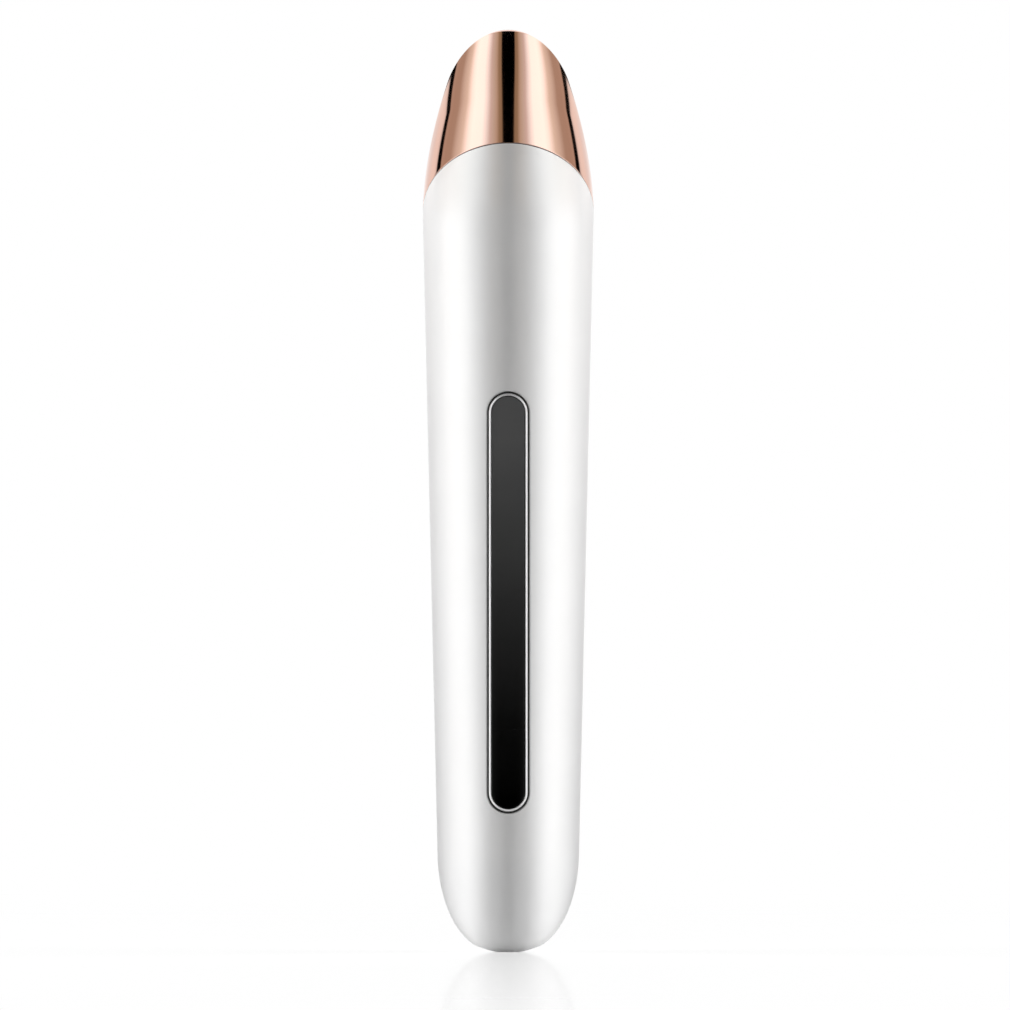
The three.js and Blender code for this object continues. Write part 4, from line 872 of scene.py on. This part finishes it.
def makeStud(place):
    outer, thread = face["studs"]
    sink, chamfer, low = face["studSink"], face["studChamfer"], ledgeBack
    section = [(thread, plateBack - sink), (thread, low + chamfer), (thread + chamfer, low),
               (outer, low), (outer, plateBack + sink)]
    return turnedBody(section, *place, face["studSides"], fromFace)


# Seal: a flat oval ring behind the plate's rim
def makeSeal():
    outer = face["rimWidth"] + face["sealGap"]
    low = sealTop - face["seal"]
    return ovalBody([(outer, sealTop), (windowInset, sealTop), (windowInset, low), (outer, low)],
                    True)


# Bezel: a narrow rounded crest, a lower shoulder outside it with a black band of painted shade,
# and a skirt into the slot
bezel = {
    "crestWidth": 0.3,
    "crestInset": 0.03,  # from the lip's inner edge
    "crestRise": 0.16,
    "crestPower": 1.25,  # 1 makes the crest a plain roof, 2 rounds it
    "crestPoints": 13,
    "step": 0.02,  # inside the crest's foot
    "stepOut": 0.01,  # outside it
    "shoulder": -0.44,
    # the black band on the shoulder is painted shade: its thickness, its inset from the outer
    # edge and its sloped end
    "shadeBand": 0.03,
    "shadeBandInset": 0.02,
    "shadeBandSlope": 0.05,
    "skirtBack": -3.1,
    "lipRound": 0.03,
    "lipCut": 0.3,  # share of that by which its middle point lies in
}


# The crest falls from its middle by its rise times |t| to its power, at shares t of its
# half width
def bezelBodies():
    b = bezel
    outer, inner, halfCrest = stripHalf, lipInner, b["crestWidth"] / 2
    middle = inner + b["crestInset"] + halfCrest
    foot = -strip["frameSink"] - b["crestRise"]
    crest = [(middle + halfCrest * t, foot + b["crestRise"] * (1 - abs(t) ** b["crestPower"]))
             for t in np.linspace(-1, 1, b["crestPoints"])]
    skirtOuter = outer - strip["skirtStep"]
    skirtInner = skirtOuter - strip["skirtWall"]
    shoulder, step, rounded = b["shoulder"], b["step"], b["lipRound"]
    cut = rounded * b["lipCut"]
    section = [(skirtInner, b["skirtBack"]), (skirtInner, lipBack), (inner, lipBack),
               (inner, foot - step), (inner + step, foot - step), *crest,
               (middle + halfCrest + b["stepOut"], shoulder), (outer - rounded, shoulder),
               (outer - cut, shoulder - cut), (outer, shoulder - rounded), (outer, lipBack),
               (skirtOuter, lipBack), (skirtOuter, b["skirtBack"])]
    # Black band on the shoulder outside the crest: painted shade for the dark gap round the
    # bezel
    low, high = middle + halfCrest + b["stepOut"] / 2, outer - b["shadeBandInset"]
    top, under = shoulder + b["shadeBand"], shoulder - b["stepOut"]
    shadeBand = [(low, under), (low, top), (high - b["shadeBandSlope"], top), (high, under)]
    return stadiumBody(section, fromStrip, True), stadiumBody(shadeBand, fromStrip, True)


# Press bar: a flat window with a softened edge, its flange under the bezel, and the stem
windowSizes = {
    "sink": 0.13,
    "gap": 0.09,
    "edge": 0.14,
    "edgeSteps": 7,
    "play": 0.05,
    "flange": 0.16,
    "flangeThickness": 0.8,
    "flangeEdge": 0.1,
    "stemRadius": 1.2,
    "stemEnd": -3.4,
    "stemEdge": 0.15,
    "stemSink": 0.02,
}


def windowBodies():
    s = windowSizes
    top = -strip["frameSink"] - s["sink"]
    radius, under = lipInner - s["gap"], lipInner + s["flange"]
    flangeTop = lipBack - s["play"]
    flangeBack = flangeTop - s["flangeThickness"]
    section = [(under - s["flangeEdge"], flangeBack), (under, flangeBack + s["flangeEdge"]),
               (under, flangeTop), (radius, flangeTop)]
    rounded = quarterRound(s["edge"], s["edgeSteps"], 0, 1)
    section += [(radius - a, top - b) for a, b in rounded]
    stem = [(s["stemRadius"] - s["stemEdge"], s["stemEnd"]),
            (s["stemRadius"], s["stemEnd"] + s["stemEdge"]),
            (s["stemRadius"], flangeBack + s["stemSink"])]

    def place(points):
        return fromStrip(points[..., :2], points[..., 2])

    return stadiumBody(section, fromStrip, False), turnedBody(stem, place=place)


# Charging socket: a drawn shell, open downwards, round an insert with its tongue
socket = {
    "wide": 8.94,
    "high": 3.26,
    "wall": 0.3,
    "mouth": 1.6,
    "mouthEdge": 0.08,
    "backEdge": 0.3,
    "length": 7.3,
    "steps": (12, 16),  # on a quarter of each round end and on a side
    "tongueWide": 6.7,
    "tongueThick": 0.7,
    "tongueEdge": 0.12,
    "setback": 1.1,
    "insert": 2.0,
    "fit": 0.05,  # round the insert, and how deep the tongue stands in it
    "contacts": 8,
    "contactWide": 0.42,
    "contactPitch": 0.72,
    "contactSetback": 0.5,
    "contactDepth": (0.3, 0.03),  # from this far off the middle to this far above the tongue
    "contactEdge": 0.02,
}


# From a stadium ring to the socket: the ring's long side along X, its height up Z
def fromSocket(ring, z):
    return np.stack([ring[..., 1], -ring[..., 0], np.full(ring.shape[:-1], float(z))], axis=-1)


def socketBodies():
    s = socket
    half = (s["wide"] - s["high"]) / 2
    outer, inner = s["high"] / 2, s["high"] / 2 - s["wall"]
    mouth, soft, backEdge, fit = s["mouth"], s["mouthEdge"], s["backEdge"], s["fit"]
    back = mouth + s["length"]
    end = back - s["wall"] - fit
    start = end - s["insert"]

    def swept(section):
        return stadiumBody(section, fromSocket, False, half, *s["steps"])

    shell = swept([(outer - backEdge, back), (outer, back - backEdge), (outer, mouth + soft),
                   (outer - soft, mouth), (inner + soft, mouth), (inner, mouth + soft),
                   (inner, back - s["wall"])])
    insert = swept([(inner - fit, start), (inner - fit, end)])
    front, wide, thick = mouth + s["setback"], s["tongueWide"] / 2, s["tongueThick"] / 2
    tongue = blockBody((-wide, -thick, front), (wide, thick, start + fit), s["tongueEdge"])
    deep, proud = s["contactDepth"]
    contacts = []
    for k in range(s["contacts"]):
        x = (k - (s["contacts"] - 1) / 2) * s["contactPitch"]
        for side in (-1, 1):
            low, high = sorted((side * deep, side * (thick + proud)))
            contacts.append(blockBody(
                (x - s["contactWide"] / 2, low, front + s["contactSetback"]),
                (x + s["contactWide"] / 2, high, start), s["contactEdge"]))
    return shell, insert, tongue, contacts


standIn("grip_body", "grip_skin", [makeGrip()], ["white_lacquer"])
standIn("head_shell", "head_casting", [makeHead(), *headBosses(-1), *headBosses(1)],
        ["rose_gold"])
# the seam gasket's tone is partly painted shade of the joint
standIn("seam_gasket", "seam_line", [makeSeamLine()], ["seam_rubber_and_shade"])
standIn("contact_plate", "warm_plate", [makePlate(), *map(makeStud, face["studPlaces"])],
        ["rose_gold_face"])
standIn("plate_seal", "plate_seal_ring", [makeSeal()], ["dark_rubber"])
ringBody, shadeBandBody = bezelBodies()
# the bezel's second finish is a band of painted shade on its shoulder
standIn("strip_frame", "strip_bezel", [ringBody, (shadeBandBody, 1)],
        ["bright_chrome", "bezel_painted_shade"])
standIn("press_bar", "strip_window", windowBodies(), ["smoked_gloss"],
        "press_key")
shellBody, insertBody, tongueBody, contactBodies = socketBodies()
standIn("socket_shell", "port_shell", [shellBody], ["nickel"])
standIn("socket_tongue", "port_tongue",
        [insertBody, tongueBody, *((contact, 1) for contact in contactBodies)],
        ["black_plastic", "gold_contact"])


# The other solids keep their shapes and take their finishes by name
nodeLooks = {
    "dark_rubber": "sealing_ring stop_pad_lower stop_pad_upper motor_boot",
    "black_plastic": "bar_tray temperature_sensor plate_retainer switch_plunger controller_chip "
                     "charger_chip",
    "clear_plastic": "light_guide motor_cap",
    "grey_plastic": "chassis",
    "amber_film": "heater_film",
    "grey_foam": "heater_pad cell_foam",
    "board_green": "main_board charge_board",
    "led_body": "status_led_1 status_led_2 status_led_3",
    "ferrite": "inductor",
    "capacitor_tan": "capacitor",
    "steel": "switch_body board_screw head_screw_front head_screw_rear plate_screw_1 "
             "plate_screw_2 plate_screw_3 motor_can motor_shaft",
    "nickel": "cell_tab_upper cell_tab_lower motor_terminal_left motor_terminal_right",
    "bronze": "motor_bearing",
    "heavy_alloy": "eccentric_weight",
    "cell_wrap": "cell",
    "wire_red": "heater_lead_left motor_lead_left charge_lead_left",
    "wire_black": "heater_lead_right motor_lead_right charge_lead_right",
}


def dressNodes():
    for finishName, nodeNames in nodeLooks.items():
        for nodeName in nodeNames.split():
            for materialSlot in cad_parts[nodeName].material_slots:
                materialSlot.material = look(finishName)
        print("dressed in", finishName + ":", nodeNames)


dressNodes()


# Floor: a pale disc that fades into the white background, keeps the wand's soft shadow
# and a faint reflection of its foot
floor = {
    "radius": 500,
    "rings": 24,
    "sides": 96,
    "shade": 0.3,  # share of the lit surface that the camera sees
    "mirror": 0.43,  # share of the reflection at a grazing angle
    "mirrorRough": 0.05,
    "mirrorFade": (60, 600),
    "albedo": 0.75,
    "glow": (1.0, 1.18),  # emission that brings the unshaded floor up to white, far and near
    "shadeFade": (120, 430),
}


def mixShaders(make, share, first, second):
    return make("MixShader", {0: share, 1: first, 2: second})


def newStageMaterial(name):
    material = bpy.data.materials.new(name)
    material.use_nodes = True
    material.node_tree.nodes.clear()
    return material, *nodeTools(material.node_tree)


# 1 for rays that a mirror or a clear surface sends on
def sharpRays(calc, rays):
    return calc("MAXIMUM", rays["Is Glossy Ray"], rays["Is Transmission Ray"])


def floorMaterial():
    material, make, calc = newStageMaterial("floorWhite")
    rays = make("LightPath").outputs
    matt = make("BsdfDiffuse", {"Color": (floor["albedo"],) * 3 + (1,)})
    polished = make("BsdfAnisotropic", {"Roughness": floor["mirrorRough"],
                                        "Color": (1, 1, 1, 1)})
    place = make("TexCoord").outputs["Object"]
    distance = make("VectorMath", {0: place}, operation="LENGTH").outputs["Value"]

    def fading(span):
        return addMapRange(make, distance, [n * millimetre for n in span], (1, 0))

    near = fading(floor["shadeFade"])
    bright = make("Emission", {"Strength": addMapRange(make, near, (0, 1), floor["glow"])})
    shaded = mixShaders(make, calc("MULTIPLY", near, floor["shade"]), bright, matt)
    gloss = calc("MULTIPLY", make("Fresnel"), floor["mirror"])
    mirror = calc("MULTIPLY", fading(floor["mirrorFade"]), gloss)
    seen = mixShaders(make, mirror, shaded, polished)
    others = mixShaders(make, sharpRays(calc, rays), matt, bright)
    whole = mixShaders(make, rays["Is Camera Ray"], others, seen)
    under = make("NewGeometry").outputs["Backfacing"]
    oneSided = mixShaders(make, under, whole, make("BsdfTransparent"))
    make("OutputMaterial", {"Surface": oneSided})
    return material


# Disc of rings round the origin, at the level of the foot
def makeFloor():
    f, body = floor, newBody()
    radius = np.linspace(f["radius"] / f["rings"], f["radius"], f["rings"])[:, None]
    index = addPoints(body, roundRings(radius, 0 * radius, f["sides"]))
    addGrid(body, index[::-1])
    addFan(body, index[0], (0, 0, 0))
    disc = makePiece("studio_floor", [body], [floorMaterial()])
    disc.visible_glossy = False


makeFloor()


# Reflector dome: a large pale shell round the wand, seen only in reflections. Its
# brightness by the turn from the camera's side gives the metal its upright bands.
dome = {
    "radius": 1200,
    "level": 70,
    "rings": 48,
    "sides": 72,
    "reach": 165,  # degrees from the camera's side to the dome's open back
    "gain": 1.4,
    # Degrees, and the light there in red, green and blue
    "bands": [(0, 0, 0, 0), (7, 0, 0, 0), (9, 0.3, 0.21, 0.13), (13, 0.32, 0.23, 0.14),
              (17, 0.54, 0.43, 0.33), (22, 0.61, 0.54, 0.46), (27, 0.7, 0.61, 0.57),
              (33, 1.05, 1.07, 1.07), (40, 1.45, 1.45, 1.42), (56, 1.5, 1.5, 1.46),
              (63, 1.35, 1.33, 1.28), (73, 0.84, 0.75, 0.64), (82, 0.68, 0.58, 0.49),
              (91, 0.46, 0.34, 0.26), (102, 0.46, 0.33, 0.25), (109.5, 0.5, 0.36, 0.28),
              (111.5, 0, 0, 0), (119, 0, 0, 0), (121.5, 0.8, 0.71, 0.66),
              (127, 0.95, 0.84, 0.78), (134, 0.95, 0.84, 0.78), (143, 0.9, 0.83, 0.8),
              (150, 0.92, 0.86, 0.84), (157, 0.97, 0.95, 0.94), (165, 1.05, 1.05, 1.05)],
    # The same below the horizon, in greys: these lie on the upright grip
    "lowBands": [(0, 0), (5, 0), (9, 0.3), (17, 0.45), (27, 0.45), (33, 0.7), (40, 1.05),
                 (48, 1.3), (56, 1.7), (63, 1.8), (73, 1.65), (82, 1.45), (91, 1.2),
                 (102, 0.85), (108, 0.7), (117, 0.5), (127, 0.15), (134, 0), (150, 0),
                 (158, 0.6), (165, 0.8)],
    "lowTo": (0.02, 0.05),  # sines of the lean between which the one gives way to the other
    "openFrom": 0.35,  # the bands move outwards above this sine of the height
    "opening": 21.0,  # degrees of turn per squared sine
    "spreadFrom": 0.313,  # and spread where the mirroring surface leans back by this sine
    "spread": 1.95,
    "footSpread": 1.3,  # the same where it leans forwards, per squared sine
    "sky": (0.8, 0.86),  # sines of the height between which the dome turns plain white
    "skyGain": (1.3, 0.9),  # in front of the wand and behind it
    "skyAcross": (-0.1, 0.3),  # shares of the radius between which that changes
}


# The surface that would mirror a point of the shell to the camera is turned by
# arctan(|x| / (1 - y)) and leans back by a sine of z / root of 2 (1 - y), where x, y and z
# are the point's direction from the middle
def domeMaterial():
    material, make, calc = newStageMaterial("domeBands")
    place = make("TexCoord").outputs["Object"]
    middle = (0, 0, dome["level"] * millimetre)
    centred = make("VectorMath", {0: place, 1: middle}, operation="SUBTRACT")
    direction = make("VectorMath", {0: centred}, operation="NORMALIZE")
    x, y, z = make("SeparateXYZ", {"Vector": direction}).outputs
    away = calc("SUBTRACT", 1, y)
    turn = calc("ARCTAN2", calc("ABSOLUTE", x), away)

    def above(value, start):
        return calc("MAXIMUM", 0, calc("SUBTRACT", value, start))

    rise = above(z, dome["openFrom"])
    opened = calc("MULTIPLY", calc("MULTIPLY", rise, rise), math.radians(dome["opening"]))
    lean = calc("DIVIDE", z, calc("SQRT", calc("MULTIPLY", away, 2)))
    spread = calc("MULTIPLY_ADD", above(lean, dome["spreadFrom"]), dome["spread"], 1)
    forward = calc("MINIMUM", lean, 0)
    spread = calc("MULTIPLY_ADD", calc("MULTIPLY", forward, forward), dome["footSpread"],
                  spread)
    moved = calc("DIVIDE", calc("SUBTRACT", turn, opened), spread)
    share = calc("DIVIDE", moved, math.radians(dome["reach"] / 2))

    def bandLight(bands):
        stops = [(band[0] / dome["reach"], np.resize(band[1:], 3) / dome["gain"])
                 for band in bands]
        return make("Emission", {"Strength": dome["gain"], "Color": addRamp(make, share, stops)})

    level = addMapRange(make, lean, dome["lowTo"], (0, 1))
    lower = mixShaders(make, level, bandLight(dome["lowBands"]), bandLight(dome["bands"]))
    sky = make("Emission", {"Strength": addMapRange(make, y, dome["skyAcross"],
                                                    dome["skyGain"])})
    high = addMapRange(make, z, dome["sky"], (0, 1))
    make("OutputMaterial", {"Surface": mixShaders(make, high, lower, sky)})
    return material


# Part of a sphere, in rings about the camera's axis from the front pole to the open back
def makeDome():
    d, body = dome, newBody()
    reach = np.radians(np.linspace(d["reach"] / d["rings"], d["reach"], d["rings"]))[:, None]
    turn = np.arange(d["sides"]) / d["sides"] * 2 * math.pi
    rings = np.stack([np.sin(reach) * np.cos(turn), -np.cos(reach) + 0 * turn,
                      np.sin(reach) * np.sin(turn)], axis=-1) * d["radius"]
    index = addPoints(body, rings + [0, 0, d["level"]])
    addGrid(body, index)
    addFan(body, index[0][::-1], (0, -d["radius"], d["level"]))
    shell = makePiece("reflector_dome", [body], [domeMaterial()])
    shell.visible_camera = shell.visible_diffuse = shell.visible_shadow = False


makeDome()


# Two soft side lamps, and a white surround
lamps = {
    "watts": 4.25,
    "distance": 500,
    "width": 0.58,
    "height": 0.6,
    "level": 300,
}


def makeLamps():
    for side in (-1, 1):
        data = bpy.data.lights.new("sideLamp", "AREA")
        data.shape = "RECTANGLE"
        data.size, data.size_y = lamps["width"], lamps["height"]
        data.energy = lamps["watts"]
        lamp = newObject("sideLamp", data)
        lamp.location = (side * lamps["distance"] * millimetre, 0, lamps["level"] * millimetre)
        lamp.rotation_euler = (math.pi / 2, 0, side * math.pi / 2)
        lamp.visible_glossy = lamp.visible_camera = False


def makeWorld(fill=0.04):
    world = bpy.data.worlds.new("whiteStudio")
    scene.world = world
    world.use_nodes = True
    world.node_tree.nodes.clear()
    make, calc = nodeTools(world.node_tree)
    rays = make("LightPath").outputs
    seen = calc("MAXIMUM", rays["Is Camera Ray"], sharpRays(calc, rays))
    strength = addMapRange(make, seen, (0, 1), (fill, 1))
    make("OutputWorld", {"Surface": make("Background", {"Strength": strength,
                                                        "Color": (1, 1, 1, 1)})})


makeLamps()
makeWorld()
print("stage and lights done")
